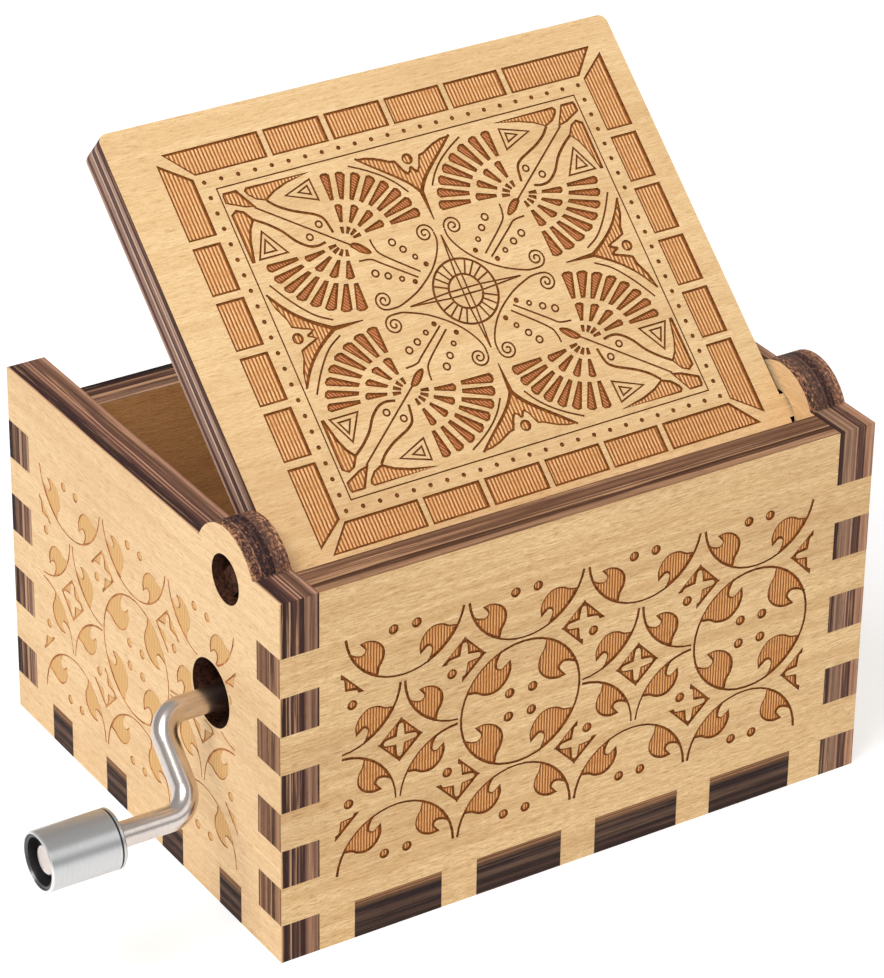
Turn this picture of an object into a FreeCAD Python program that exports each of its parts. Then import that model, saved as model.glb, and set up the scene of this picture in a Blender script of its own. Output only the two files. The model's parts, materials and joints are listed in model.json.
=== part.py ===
import FreeCAD, Part

# Hand-cranked music box: a laser-cut plywood case with a hinged lid, and inside it a
# pinned-cylinder movement (bedplate, comb, cylinder, worm drive) turned by a wire crank.
#
# Frame: millimetres, +Z up, origin at the centre of the case's bottom face.
# +X is the side that the crank comes out of, +Y is the hinge side (the back).
# The rest pose has the lid open at lid_angle and the crank arm at arm_angle.

import math
import os
import re

import Sketcher
from FreeCAD import Placement, Rotation, Vector

# ---------------------------------------------------------------- driving dimensions

SIZES = {
    # case of plywood boards
    "box_length": (64.0, "outer length along X"),
    "box_depth": (51.0, "outer depth along Y"),
    "wall_height": (37.6, "height of the side walls and the back wall"),
    "board": (4.0, "plywood thickness"),
    "finger": (4.0, "height of one finger of the corner joints"),
    "long_tab_width": (9.3, "floor tab in the front and back walls"),
    "long_tab_pitch": (13.1, "spacing of those tabs"),
    "side_tab_width": (4.0, "floor tab in the side walls"),
    "side_tab_pitch": (10.87, "spacing of those tabs"),
    "tab_count": (4, "floor tabs along each wall"),
    # lid and its hinge
    "lid_angle": (41.4, "opening of the lid at rest, in degrees"),
    "hinge_inset": (9.4, "hinge axis in front of the back face"),
    "hinge_drop": (2.23, "hinge axis below the top of the side walls"),
    "tongue_width": (2.4, "width of the lid's hinge tongues"),
    "tongue_recess": (1.0, "tongue end inside the outer face"),
    "hinge_play": (0.07, "tongue corner to hinge hole"),
    "ear_wall": (2.8, "wood around the hinge hole"),
    "lid_side_gap": (0.45, "lid edge to side wall"),
    "lid_rest_gap": (0.1, "closed lid to the top of the front wall"),
    "lid_overhang": (0.8, "lid edge in front of the front wall"),
    "tail_gap": (1.35, "rear edge of the closed lid to the back wall"),
    "lid_corner": (0.9, "corner radius at the free edge"),
    # crank and knob
    "wire_radius": (1.2, "crank wire"),
    "crank_inset": (12.3, "crank axis in front of the back face"),
    "hole_radius": (3.35, "crank hole in the wall"),
    "hole_rise": (0.6, "centre of that hole above the crank axis"),
    "arm_standoff": (5.6, "crank arm outside the wall"),
    "throw": (9.2, "crank axis to knob axis"),
    "arm_angle": (45.4, "crank arm from straight down, towards the back"),
    "bend_radius": (2.5, "bends of the crank wire, at the centre of the wire"),
    "knob_offset": (8.1, "crank arm to the inner end of the knob"),
    "knob_length": (7.4, "knob sleeve"),
    "knob_radius": (2.83, "knob sleeve"),
    "sleeve_wall": (0.23, "knob sleeve"),
    "liner_rim": (0.35, "wall of the knob liner's open cup"),
    "liner_lip": (0.15, "cup rim inside the end of the sleeve"),
    "cup_depth": (1.0, "cup around the head of the wire"),
    "wire_head_radius": (1.5, "peened head that keeps the knob on"),
    "wire_head_height": (0.5, "peened head"),
    "knob_play": (0.06, "liner bore to wire, and liner floor to head"),
    # worm drive
    "gear_module": (0.5, "module of worm and wheel"),
    "wheel_teeth": (24, "teeth of the worm wheel"),
    "worm_pitch_radius": (2.3, "pitch radius of the worm"),
    "worm_turns": (4, "turns of thread, an even number"),
    "worm_half": (4.2, "half the length of the worm's sleeve"),
    "worm_gap": (0.5, "worm to the bracket plate beside it"),
    "pressure_angle": (20.0, "flank angle in degrees"),
    "backlash": (0.16, "play between the flanks"),
    "wheel_width": (2.4, "face width of the wheel"),
    "hub_length": (1.6, "hub between wheel and cylinder"),
    "hub_radius": (2.6, "hub of the wheel"),
    # cylinder
    "cylinder_radius": (6.2, "brass sleeve"),
    "cylinder_wall": (0.6, "brass sleeve"),
    "cylinder_margin": (0.5, "sleeve beyond the last note track"),
    "cap_thickness": (1.2, "end cap of the cylinder"),
    "pin_height": (0.5, "raised point on the sleeve"),
    "pin_radius": (0.32, "foot of a raised point"),
    "pins_per_note": (5, "raised points on each track"),
    "arbor_radius": (1.0, "steel arbor"),
    "note_count": (18, "notes"),
    "cylinder_inset": (16.0, "cylinder axis inside the crank-side wall"),
    # comb
    "comb_length": (24.0, "tip of a tooth to the back of the comb"),
    "long_tooth": (15.5, "longest tooth"),
    "short_tooth": (8.5, "shortest tooth"),
    "tooth_thickness": (0.7, "comb tooth"),
    "tooth_gap": (0.22, "slot between two teeth"),
    "tip_gap": (0.15, "tooth tip to the circle of the raised points"),
    "comb_thickness": (1.8, "back of the comb"),
    "comb_margin": (1.0, "comb beyond the first and last tooth"),
    "comb_seat": (8.0, "depth of the comb's seat on the bedplate"),
    "weight_length": (3.2, "lead weight under a long tooth"),
    "weight_height": (1.2, "lead weight"),
    "weight_count": (6, "teeth with a weight"),
    # bedplate, brackets and bushes
    "bed_thickness": (2.2, "bedplate"),
    "bed_gap": (0.3, "raised points to the bedplate"),
    "bed_front_gap": (3.9, "bedplate to the front wall"),
    "bed_margin": (1.0, "bedplate beyond what stands on it"),
    "bed_corner": (2.0, "corner radius of the bedplate"),
    "boss_radius": (2.6, "screw boss"),
    "boss_height": (2.0, "screw boss"),
    "boss_inset": (3.2, "screw boss centre inside the bedplate's edge"),
    "bracket_thickness": (2.0, "bracket plates and feet"),
    "lug_thickness": (2.4, "lugs that carry the crank shaft"),
    "lug_radius": (2.8, "rounded end of a lug"),
    "foot_length": (5.0, "bracket foot"),
    "foot_width": (4.0, "bracket foot"),
    "bush_wall": (0.75, "bronze bush"),
    "bush_flange": (0.7, "flange thickness of a bush"),
    "bush_flange_radius": (2.4, "flange of a bush"),
    "shaft_play": (0.05, "shaft to bush"),
    "end_play": (0.3, "axial play of the shafts"),
    "ring_thickness": (0.5, "retaining ring"),
    "ring_radius": (2.1, "retaining ring"),
    "shaft_tail": (0.6, "shaft end beyond its retaining ring"),
    # screws
    "screw_radius": (0.9, "shank of the comb and bracket screws"),
    "screw_head_radius": (1.6, "cheese head"),
    "screw_head_height": (1.1, "cheese head"),
    "screw_depth": (1.9, "screw into the casting"),
    "screw_play": (0.05, "shank to hole"),
    "slot_width": (0.4, "screwdriver slot"),
    "slot_depth": (0.5, "screwdriver slot"),
    "fixing_radius": (1.15, "shank of the screws through the floor"),
    "fixing_head_radius": (2.3, "countersunk head"),
    "fixing_head_height": (1.3, "countersunk head"),
    "fixing_recess": (0.2, "head below the bottom face"),
}

# Sizes that follow from the driving ones, written with their names.
DERIVED = {
    "half_length": "box_length / 2",
    "half_depth": "box_depth / 2",
    "inner_x": "half_length - board",
    "inner_y": "half_depth - board",
    # hinge and lid
    "hinge_y": "half_depth - hinge_inset",
    "hinge_z": "wall_height - hinge_drop",
    "hinge_hole": "sqrt((board / 2)^2 + (tongue_width / 2)^2) + hinge_play",
    "ear_radius": "hinge_hole + ear_wall",
    "front_top": "hinge_z - board / 2 - lid_rest_gap",
    "lid_half": "inner_x - lid_side_gap",
    "lid_reach": "hinge_y + half_depth + lid_overhang",
    "lid_tail": "inner_y - hinge_y - tail_gap",
    # movement, from the bedplate up
    "bed_top": "board + bed_thickness",
    "pin_circle": "cylinder_radius + pin_height",
    "cylinder_x": "inner_x - cylinder_inset",
    "cylinder_z": "bed_top + bed_gap + pin_circle",
    "wheel_pitch_radius": "gear_module * wheel_teeth / 2",
    "crank_y": "half_depth - crank_inset",
    "crank_z": "cylinder_z + wheel_pitch_radius + worm_pitch_radius",
    "side_gap": "bush_flange + end_play",
    "plate_y": "crank_y + worm_outer + worm_gap",
    "far_hub": "plate_y - side_gap - crank_y - wheel_width / 2",
    "bed_front": "bed_front_gap - inner_y",
    "tail_plate_y": "bed_front + bed_margin + foot_length + bracket_thickness",
    # the cylinder fills the room between the tail bracket and the worm wheel's hub
    "cylinder_low": "tail_plate_y + side_gap",
    "cylinder_high": "crank_y - wheel_width / 2 - hub_length",
    "cylinder_half": "(cylinder_high - cylinder_low) / 2",
    "cylinder_y": "(cylinder_high + cylinder_low) / 2",
    "note_pitch": "(cylinder_half - cylinder_margin) * 2 / note_count",
    "lug_inner": "worm_half + side_gap",
    "lug_outer": "lug_inner + lug_thickness",
    "shaft_bush_radius": "wire_radius + shaft_play + bush_wall",
    "arbor_bush_radius": "arbor_radius + shaft_play + bush_wall",
    # worm and wheel, with teeth one module high
    "tooth_root": "1.25 * gear_module",
    "worm_root": "worm_pitch_radius - tooth_root",
    "worm_outer": "worm_pitch_radius + gear_module",
    "wheel_root": "wheel_pitch_radius - tooth_root",
    "wheel_outer": "wheel_pitch_radius + gear_module",
    "worm_lead": "3.14159265 * gear_module",
    # comb
    "tip_x": "cylinder_x - pin_circle - tip_gap",
    "comb_back": "tip_x - comb_length",
    "comb_half": "note_count * note_pitch / 2 + comb_margin",
    "comb_top": "cylinder_z + tooth_thickness / 2",
    "comb_under": "comb_top - comb_thickness",
    # bedplate
    "bed_left": "comb_back - bed_margin",
    "bed_right": "cylinder_x + lug_outer + foot_length + bed_margin",
    "bed_rear": "plate_y + bracket_thickness + bed_margin",
    # crank and knob
    "arm_x": "half_length + arm_standoff",
    "shaft_end_x": "cylinder_x - lug_outer - end_play - ring_thickness - shaft_tail",
    "knob_x": "arm_x + knob_offset",
    "knob_y": "crank_y + throw * sin(arm_angle)",
    "knob_z": "crank_z - throw * cos(arm_angle)",
    "liner_radius": "knob_radius - sleeve_wall",
    "liner_length": "knob_length - liner_lip",
    "cup_floor": "liner_length - cup_depth",
    "wire_end_x": "knob_x + cup_floor + knob_play",
}

doc = FreeCAD.newDocument("MusicBox")
sheet = doc.addObject("Spreadsheet::Sheet", "Sizes")
for row, (alias, (value, meaning)) in enumerate(SIZES.items(), start=1):
    sheet.set(f"A{row}", meaning)
    sheet.set(f"B{row}", str(value))
    sheet.setAlias(f"B{row}", alias)
doc.recompute()

WORD = re.compile(r"[a-z]+(?:_[a-z]+)+|\b(?:board|finger|backlash|throw)\b")


def expression(text):
    """Write out the named sizes in text as references to the spreadsheet."""
    def reference(match):
        word = match.group(0)
        if word in DERIVED:
            return "(" + expression(DERIVED[word]) + ")"
        if word in SIZES:
            return "Sizes." + word
        raise KeyError(word)
    return WORD.sub(reference, str(text))


def value(text):
    """The number that an expression of named sizes has now."""
    result = sheet.evalExpression(expression(text))
    return float(getattr(result, "Value", result))


def bind(item, **sizes):
    """Tie properties of a document object to expressions of named sizes."""
    for name, text in sizes.items():
        item.setExpression(name, expression(text))


# ---------------------------------------------------------------- placing

UPRIGHT = Rotation()
ALONG_X = Rotation(Vector(0, 1, 0), 90)     # own Z runs along +X, own X points down
ALONG_Y = Rotation(Vector(1, 0, 0), -90)    # own Z runs along +Y, own X stays +X

NODES = {}


def place(item, x=0, y=0, z=0, turn=UPRIGHT):
    """Put an object at named sizes, and keep it there when a size changes."""
    item.Placement = Placement(Vector(value(x), value(y), value(z)), turn)
    item.setExpression(".Placement.Base.x", expression(x))
    item.setExpression(".Placement.Base.y", expression(y))
    item.setExpression(".Placement.Base.z", expression(z))
    return item


def node(item, label):
    """Hand an object in as the sub-part called label."""
    item.Label = label
    NODES[label] = item
    return item


# ---------------------------------------------------------------- sketches and features

PLANES = {"XY": "XY_Plane", "XZ": "XZ_Plane", "YZ": "YZ_Plane"}


def new_body(label):
    return node(doc.addObject("PartDesign::Body", label + "_body"), label)


def origin_feature(body, role):
    return next(item for item in body.Origin.OriginFeatures if item.Role == role)


def new_sketch(body, name, plane="XY", offset=0, turn=0):
    """An empty sketch on one of the body's planes, moved along the plane's normal."""
    sketch = body.newObject("Sketcher::SketchObject", name)
    sketch.AttachmentSupport = [(origin_feature(body, PLANES[plane]), "")]
    sketch.MapMode = "FlatFace"
    around = Rotation(Vector(0, 0, 1), value(turn))
    sketch.AttachmentOffset = Placement(Vector(0, 0, value(offset)), around)
    sketch.setExpression(".AttachmentOffset.Base.z", expression(offset))
    return sketch


def dimension(sketch, kind, *where, size):
    """A driving constraint whose value is an expression of named sizes."""
    index = sketch.addConstraint(Sketcher.Constraint(kind, *where, value(size)))
    sketch.setExpression(f"Constraints[{index}]", expression(size))


def fix_point(sketch, geometry, point, x, y):
    dimension(sketch, "DistanceX", -1, 1, geometry, point, size=x)
    dimension(sketch, "DistanceY", -1, 1, geometry, point, size=y)


def draw_polygon(sketch, corners):
    """A closed outline through corners, each a pair of expressions."""
    first = sketch.GeometryCount
    spots = [Vector(value(x), value(y), 0) for x, y in corners]
    count = len(spots)
    for index in range(count):
        sketch.addGeometry(Part.LineSegment(spots[index], spots[(index + 1) % count]))
    for index in range(count):
        following = first + (index + 1) % count
        sketch.addConstraint(Sketcher.Constraint("Coincident", first + index, 2, following, 1))
        fix_point(sketch, first + index, 1, *corners[index])


def draw_circle(sketch, x, y, radius):
    index = sketch.addGeometry(Part.Circle(Vector(value(x), value(y), 0), Vector(0, 0, 1), value(radius)))
    fix_point(sketch, index, 3, x, y)
    dimension(sketch, "Radius", index, size=radius)


def rectangle(x_low, x_high, y_low, y_high):
    return [(x_low, y_low), (x_high, y_low), (x_high, y_high), (x_low, y_high)]


def outline(body, name, corners, plane="XY", offset=0, turn=0):
    sketch = new_sketch(body, name, plane, offset, turn)
    draw_polygon(sketch, corners)
    return sketch


def circles(body, name, spots, radius, plane="XY", offset=0):
    sketch = new_sketch(body, name, plane, offset)
    for x, y in spots:
        draw_circle(sketch, x, y, radius)
    return sketch


def solid_of(body, what, kind, sketch, **sizes):
    """Add a PartDesign feature of the sketch, and check that it changed the solid."""
    before = body.Tip.Shape.Volume if body.Tip else 0.0
    feature = body.newObject("PartDesign::" + kind, what)
    feature.Profile = sketch
    flags = {name: sizes.pop(name) for name in ("Reversed", "SideType", "Type") if name in sizes}
    for name, flag in flags.items():
        setattr(feature, name, flag)
    bind(feature, **sizes)
    sketch.Visibility = False
    doc.recompute()
    change = feature.Shape.Volume - before
    grows = kind in ("Pad", "Revolution")
    if (change > 0) != grows or abs(change) < 1e-6:
        raise ValueError(f"{body.Label}: {what} changed the volume by {change:.4f}")
    return feature


def pad(body, what, sketch, length, both=False, back=False):
    extra = {"SideType": "Symmetric"} if both else {}
    return solid_of(body, what, "Pad", sketch, Length=length, Reversed=back, **extra)


def pocket(body, what, sketch, length, back=False):
    return solid_of(body, what, "Pocket", sketch, Length=length, Reversed=back)


def turned(body, what, corners):
    """A turned part: a profile of (radius, height) corners around the body's Z axis."""
    sketch = outline(body, what + "_profile", corners, "XZ")
    feature = body.newObject("PartDesign::Revolution", what)
    feature.Profile = sketch
    feature.ReferenceAxis = (sketch, ["V_Axis"])
    feature.Angle = 360
    sketch.Visibility = False
    doc.recompute()
    return feature


def round_edges(body, what, radius, wanted):
    """Fillet the edges of the body whose centre satisfies wanted."""
    base = body.Tip
    names = [
        f"Edge{number}"
        for number, edge in enumerate(base.Shape.Edges, start=1)
        if wanted(edge)
    ]
    fillet = body.newObject("PartDesign::Fillet", what)
    fillet.Base = (base, names)
    bind(fillet, Radius=radius)
    doc.recompute()
    return fillet


def upright_corner(edge, x, y):
    """True for a straight edge along Z that stands at (x, y)."""
    box = edge.BoundBox
    slim = box.XLength < 1e-6 and box.YLength < 1e-6 and box.ZLength > 1e-6
    return slim and abs(box.XMin - value(x)) < 1e-6 and abs(box.YMin - value(y)) < 1e-6


# ---------------------------------------------------------------- the plywood case

FINGERS = int((value("front_top") + 1e-6) // value("2 * finger"))
TABS = int(value("tab_count"))


def finger_edge(side, inner, outer, top):
    """One vertical edge of a board, from its foot up: fingers at every second step."""
    corners = [(f"{side} * ({inner})", "0")]
    for number in range(FINGERS):
        low = f"finger * {2 * number + 1}"
        high = f"finger * {2 * number + 2}"
        corners += [
            (f"{side} * ({inner})", low),
            (f"{side} * ({outer})", low),
            (f"{side} * ({outer})", high),
            (f"{side} * ({inner})", high),
        ]
    corners.append((f"{side} * ({inner})", top))
    return corners


def tab_centres(pitch):
    """Centres of the floor tabs along one wall."""
    return [f"({number} - (tab_count - 1) / 2) * {pitch}" for number in range(TABS)]


def foot_notches(width, pitch):
    """Bottom edge of a wall, from right to left, with a notch for each floor tab."""
    corners = []
    for centre in reversed(tab_centres(pitch)):
        right = f"{centre} + {width} / 2"
        left = f"{centre} - {width} / 2"
        corners += [(right, "0"), (right, "board"), (left, "board"), (left, "0")]
    return corners


def wall_outline(inner, outer, top, width, pitch):
    left = finger_edge(-1, inner, outer, top)
    right = finger_edge(1, inner, outer, top)
    return left + right[::-1] + foot_notches(width, pitch)


def long_wall(label, outer_face, top):
    """The front or the back wall, with fingers that reach the side faces."""
    body = new_body(label)
    shape = wall_outline("inner_x", "half_length", top, "long_tab_width", "long_tab_pitch")
    sketch = outline(body, label + "_outline", shape, "XZ", offset=f"-({outer_face})")
    pad(body, label + "_board", sketch, "board", back=outer_face.startswith("-"))
    return body


def side_wall(label, inner_face, holes):
    """A side wall with a hinge ear, and notches where the long walls' fingers come through."""
    body = new_body(label)
    shape = wall_outline("half_depth", "inner_y", "wall_height", "side_tab_width", "side_tab_pitch")
    sketch = outline(body, label + "_outline", shape, "YZ", offset=inner_face)
    pad(body, label + "_board", sketch, "board")
    axis = [("hinge_y", "hinge_z")]
    ear = circles(body, label + "_ear_outline", axis, "ear_radius", "YZ", offset=inner_face)
    pad(body, label + "_ear", ear, "board")
    for name, (y, z, radius) in holes.items():
        cut = circles(body, f"{label}_{name}_outline", [(y, z)], radius, "YZ", offset=inner_face)
        pocket(body, f"{label}_{name}", cut, "board", back=True)
    return body


def bottom_board():
    """The floor, with tabs that reach the outer faces, and countersunk screw holes."""
    along_x = [(centre, "long_tab_width") for centre in tab_centres("long_tab_pitch")]
    along_y = [(centre, "side_tab_width") for centre in tab_centres("side_tab_pitch")]
    corners = [("-inner_x", "-inner_y")]
    for centre, width in along_x:
        low, high = f"{centre} - {width} / 2", f"{centre} + {width} / 2"
        corners += [(low, "-inner_y"), (low, "-half_depth"), (high, "-half_depth"), (high, "-inner_y")]
    corners.append(("inner_x", "-inner_y"))
    for centre, width in along_y:
        low, high = f"{centre} - {width} / 2", f"{centre} + {width} / 2"
        corners += [("inner_x", low), ("half_length", low), ("half_length", high), ("inner_x", high)]
    corners.append(("inner_x", "inner_y"))
    for centre, width in reversed(along_x):
        low, high = f"{centre} - {width} / 2", f"{centre} + {width} / 2"
        corners += [(high, "inner_y"), (high, "half_depth"), (low, "half_depth"), (low, "inner_y")]
    corners.append(("-inner_x", "inner_y"))
    for centre, width in reversed(along_y):
        low, high = f"{centre} - {width} / 2", f"{centre} + {width} / 2"
        corners += [("-inner_x", high), ("-half_length", high), ("-half_length", low), ("-inner_x", low)]
    blank = doc.addObject("PartDesign::Body", "floor_blank")
    pad(blank, "floor_board", outline(blank, "floor_outline", corners), "board")
    tools = []
    for number, (x, y) in enumerate(FIXINGS, start=1):
        bore = cylinder(f"floor_bore_{number}", "fixing_radius + screw_play", "board", x, y)
        well = cylinder(f"floor_well_{number}", "fixing_head_radius + screw_play", "fixing_recess", x, y)
        sink = cone(f"floor_sink_{number}", "fixing_head_radius + screw_play", "fixing_radius + screw_play",
                    "fixing_head_height", x, y, "fixing_recess")
        tools += [bore, well, sink]
    return node(cut_away("floor_drilled", blank, tools), "bottom_board")


def lid():
    """The lid, drawn closed around its hinge axis and then turned open."""
    body = new_body("lid")
    half = "tongue_width / 2"
    reach = "half_length - tongue_recess"
    corners = [
        ("-lid_half", "-lid_reach"), ("lid_half", "-lid_reach"),
        ("lid_half", f"-{half}"), (reach, f"-{half}"), (reach, half), ("lid_half", half),
        ("lid_half", "lid_tail"), ("-lid_half", "lid_tail"),
        ("-lid_half", half), (f"-({reach})", half), (f"-({reach})", f"-{half}"), ("-lid_half", f"-{half}"),
    ]
    pad(body, "lid_board", outline(body, "lid_outline", corners), "board", both=True)
    round_edges(body, "lid_corners", "lid_corner",
                lambda edge: any(upright_corner(edge, x, "-lid_reach") for x in ("lid_half", "-lid_half")))
    opened = Rotation(Vector(1, 0, 0), -value("lid_angle"))
    return place(body, 0, "hinge_y", "hinge_z", opened)


# ---------------------------------------------------------------- simple turned solids

def cylinder(name, radius, length, x=0, y=0, z=0, turn=UPRIGHT):
    item = doc.addObject("Part::Cylinder", name)
    bind(item, Radius=radius, Height=length)
    return place(item, x, y, z, turn)


def cone(name, radius_low, radius_high, length, x=0, y=0, z=0, turn=UPRIGHT):
    item = doc.addObject("Part::Cone", name)
    bind(item, Radius1=radius_low, Radius2=radius_high, Height=length)
    return place(item, x, y, z, turn)


def block(name, x_low, y_low, z_low, length, width, height):
    item = doc.addObject("Part::Box", name)
    bind(item, Length=length, Width=width, Height=height)
    return place(item, x_low, y_low, z_low)


def fused(name, items):
    item = doc.addObject("Part::MultiFuse", name)
    item.Shapes = items
    return item


def cut_away(name, base, tools):
    tool = tools[0] if len(tools) == 1 else fused(name + "_tools", tools)
    item = doc.addObject("Part::Cut", name)
    item.Base = base
    item.Tool = tool
    return item


def group(label, items):
    """Several like pieces that share one node, each a solid of its own."""
    if len(items) == 1:
        return node(items[0], label)
    item = doc.addObject("Part::Compound", label + "_group")
    item.Links = items
    return node(item, label)


def cheese_head_screw(name, x, y, seat):
    """A slotted screw that stands in a seat at height seat, with its shank downwards."""
    head = cylinder(name + "_head", "screw_head_radius", "screw_head_height", x, y, seat)
    shank = cylinder(name + "_shank", "screw_radius", "screw_depth", x, y, f"{seat} - screw_depth")
    slot = block(name + "_slot", f"{x} - screw_head_radius", f"{y} - slot_width / 2",
                 f"{seat} + screw_head_height - slot_depth",
                 "2 * screw_head_radius", "slot_width", "slot_depth")
    return cut_away(name, fused(name + "_blank", [head, shank]), [slot])


def fixing_screw(name, x, y):
    """A countersunk screw from under the floor up into a boss of the bedplate."""
    head = cone(name + "_head", "fixing_head_radius", "fixing_radius", "fixing_head_height",
                x, y, "fixing_recess")
    top = "bed_top + boss_height"
    shank = cylinder(name + "_shank", "fixing_radius", f"{top} - fixing_recess", x, y, "fixing_recess")
    slot = block(name + "_slot", f"{x} - fixing_head_radius", f"{y} - slot_width / 2", "fixing_recess",
                 "2 * fixing_head_radius", "slot_width", "slot_depth")
    return cut_away(name, fused(name + "_blank", [head, shank]), [slot])


def flanged_bush(name, bore, outer, length, x, y, z, turn):
    """A bronze bush: its flange first, then the part that sits in the bracket."""
    flange = cylinder(name + "_flange", "bush_flange_radius", "bush_flange", x, y, z, turn)
    sleeve = cylinder(name + "_sleeve", outer, f"bush_flange + {length}", x, y, z, turn)
    hole = cylinder(name + "_bore", bore, f"bush_flange + {length}", x, y, z, turn)
    return cut_away(name, fused(name + "_blank", [flange, sleeve]), [hole])


def retaining_ring(label, bore, x, y, z, turn):
    """A split ring that snaps onto a shaft."""
    disc = cylinder(label + "_disc", "ring_radius", "ring_thickness", x, y, z, turn)
    hole = cylinder(label + "_bore", bore, "ring_thickness", x, y, z, turn)
    split = doc.addObject("Part::Box", label + "_split")
    bind(split, Length="ring_radius", Width="slot_width * 2", Height="ring_thickness")
    half_split = turn.multVec(Vector(0, -value("slot_width"), 0))
    split.Placement = Placement(Vector(value(x), value(y), value(z)) + half_split, turn)
    return node(cut_away(label + "_cut", disc, [hole, split]), label)


# ---------------------------------------------------------------- the movement's frame

FIXINGS = [
    ("bed_left + boss_inset", "bed_front + boss_inset"),
    ("bed_left + boss_inset", "bed_rear - boss_inset"),
    ("bed_right - boss_inset", "cylinder_y"),
]
COMB_SCREWS = [
    ("comb_back + comb_seat / 2", f"cylinder_y + {step} * comb_half * 0.7") for step in (-1, 0, 1)
]
BRACKET_SCREWS = [
    (f"cylinder_x + {side} * (lug_outer + foot_length / 2)", "plate_y + bracket_thickness - foot_width / 2")
    for side in (-1, 1)
]
TAIL_SCREWS = [
    (f"cylinder_x + {side} * foot_length * 0.8", "tail_plate_y - bracket_thickness - foot_length / 2")
    for side in (-1, 1)
]


def bedplate():
    """The cast bedplate with the comb's seat and three screw bosses."""
    body = new_body("bedplate")
    plate = outline(body, "bed_outline", rectangle("bed_left", "bed_right", "bed_front", "bed_rear"),
                    offset="board")
    pad(body, "bed_plate", plate, "bed_thickness")
    ends = [(x, y) for x in ("bed_left", "bed_right") for y in ("bed_front", "bed_rear")]
    round_edges(body, "bed_corners", "bed_corner",
                lambda edge: any(upright_corner(edge, x, y) for x, y in ends))
    seat = outline(body, "comb_seat_outline",
                   rectangle("comb_back", "comb_back + comb_seat",
                             "cylinder_y - comb_half", "cylinder_y + comb_half"), offset="bed_top")
    pad(body, "comb_seat_block", seat, "comb_under - bed_top")
    bosses = circles(body, "boss_outline", FIXINGS, "boss_radius", offset="bed_top")
    pad(body, "bosses", bosses, "boss_height")
    taps = circles(body, "boss_tap_outline", FIXINGS, "fixing_radius + screw_play", offset="board")
    pocket(body, "boss_taps", taps, "bed_thickness + boss_height", back=True)
    comb_taps = circles(body, "comb_tap_outline", COMB_SCREWS, "screw_radius + screw_play", offset="comb_under")
    pocket(body, "comb_taps", comb_taps, "screw_depth")
    feet = circles(body, "foot_tap_outline", BRACKET_SCREWS + TAIL_SCREWS, "screw_radius + screw_play",
                   offset="bed_top")
    pocket(body, "foot_taps", feet, "screw_depth")
    return body


def gear_bracket():
    """The casting beside the worm wheel: it carries the cylinder's arbor and the crank shaft."""
    body = new_body("gear_bracket")
    far = "plate_y + bracket_thickness"
    left, right = "cylinder_x - lug_outer", "cylinder_x + lug_outer"
    plate = outline(body, "gear_plate_outline", rectangle(left, right, "bed_top", "crank_z + lug_radius"),
                    "XZ", offset=f"-({far})")
    pad(body, "gear_plate", plate, "bracket_thickness")
    foot_low, foot_high = f"{far} - foot_width", far
    for side, low, high in (("left", f"{left} - foot_length", left), ("right", right, f"{right} + foot_length")):
        foot = outline(body, f"gear_foot_{side}_outline", rectangle(low, high, foot_low, foot_high),
                       offset="bed_top")
        pad(body, f"gear_foot_{side}", foot, "bracket_thickness")
        start = "cylinder_x + lug_inner" if side == "right" else left
        lug = outline(body, f"lug_{side}_outline",
                      rectangle("crank_y", "plate_y", "crank_z - lug_radius", "crank_z + lug_radius"),
                      "YZ", offset=start)
        pad(body, f"lug_{side}", lug, "lug_thickness")
        nose = circles(body, f"lug_{side}_nose_outline", [("crank_y", "crank_z")], "lug_radius", "YZ",
                       offset=start)
        pad(body, f"lug_{side}_nose", nose, "lug_thickness")
        bore = circles(body, f"lug_{side}_bore_outline", [("crank_y", "crank_z")], "shaft_bush_radius", "YZ",
                       offset=start)
        pocket(body, f"lug_{side}_bore", bore, "lug_thickness", back=True)
    arbor = circles(body, "gear_arbor_outline", [("cylinder_x", "cylinder_z")], "arbor_bush_radius", "XZ",
                    offset=f"-({far})")
    pocket(body, "gear_arbor_bore", arbor, "bracket_thickness", back=True)
    holes = circles(body, "gear_foot_hole_outline", BRACKET_SCREWS, "screw_radius + screw_play",
                    offset="bed_top")
    pocket(body, "gear_foot_holes", holes, "bracket_thickness", back=True)
    return body


def tail_bracket():
    """The bracket at the free end of the cylinder."""
    body = new_body("tail_bracket")
    near = "tail_plate_y"
    far = "tail_plate_y - bracket_thickness"
    half = "foot_length * 1.4"
    low, high = f"cylinder_x - {half}", f"cylinder_x + {half}"
    neck_low, neck_high = "cylinder_x - lug_radius", "cylinder_x + lug_radius"
    plate = outline(body, "tail_plate_outline",
                    [(low, "bed_top"), (high, "bed_top"), (high, "bed_top + bracket_thickness"),
                     (neck_high, "cylinder_z"), (neck_low, "cylinder_z"),
                     (low, "bed_top + bracket_thickness")], "XZ", offset=f"-({near})")
    pad(body, "tail_plate", plate, "bracket_thickness")
    nose = circles(body, "tail_nose_outline", [("cylinder_x", "cylinder_z")], "lug_radius", "XZ",
                   offset=f"-({near})")
    pad(body, "tail_nose", nose, "bracket_thickness")
    foot = outline(body, "tail_foot_outline", rectangle(low, high, f"{far} - foot_length", far),
                   offset="bed_top")
    pad(body, "tail_foot", foot, "bracket_thickness")
    bore = circles(body, "tail_bore_outline", [("cylinder_x", "cylinder_z")], "arbor_bush_radius", "XZ",
                   offset=f"-({near})")
    pocket(body, "tail_bore", bore, "bracket_thickness", back=True)
    holes = circles(body, "tail_foot_hole_outline", TAIL_SCREWS, "screw_radius + screw_play",
                    offset="bed_top")
    pocket(body, "tail_foot_holes", holes, "bracket_thickness", back=True)
    return body


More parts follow.
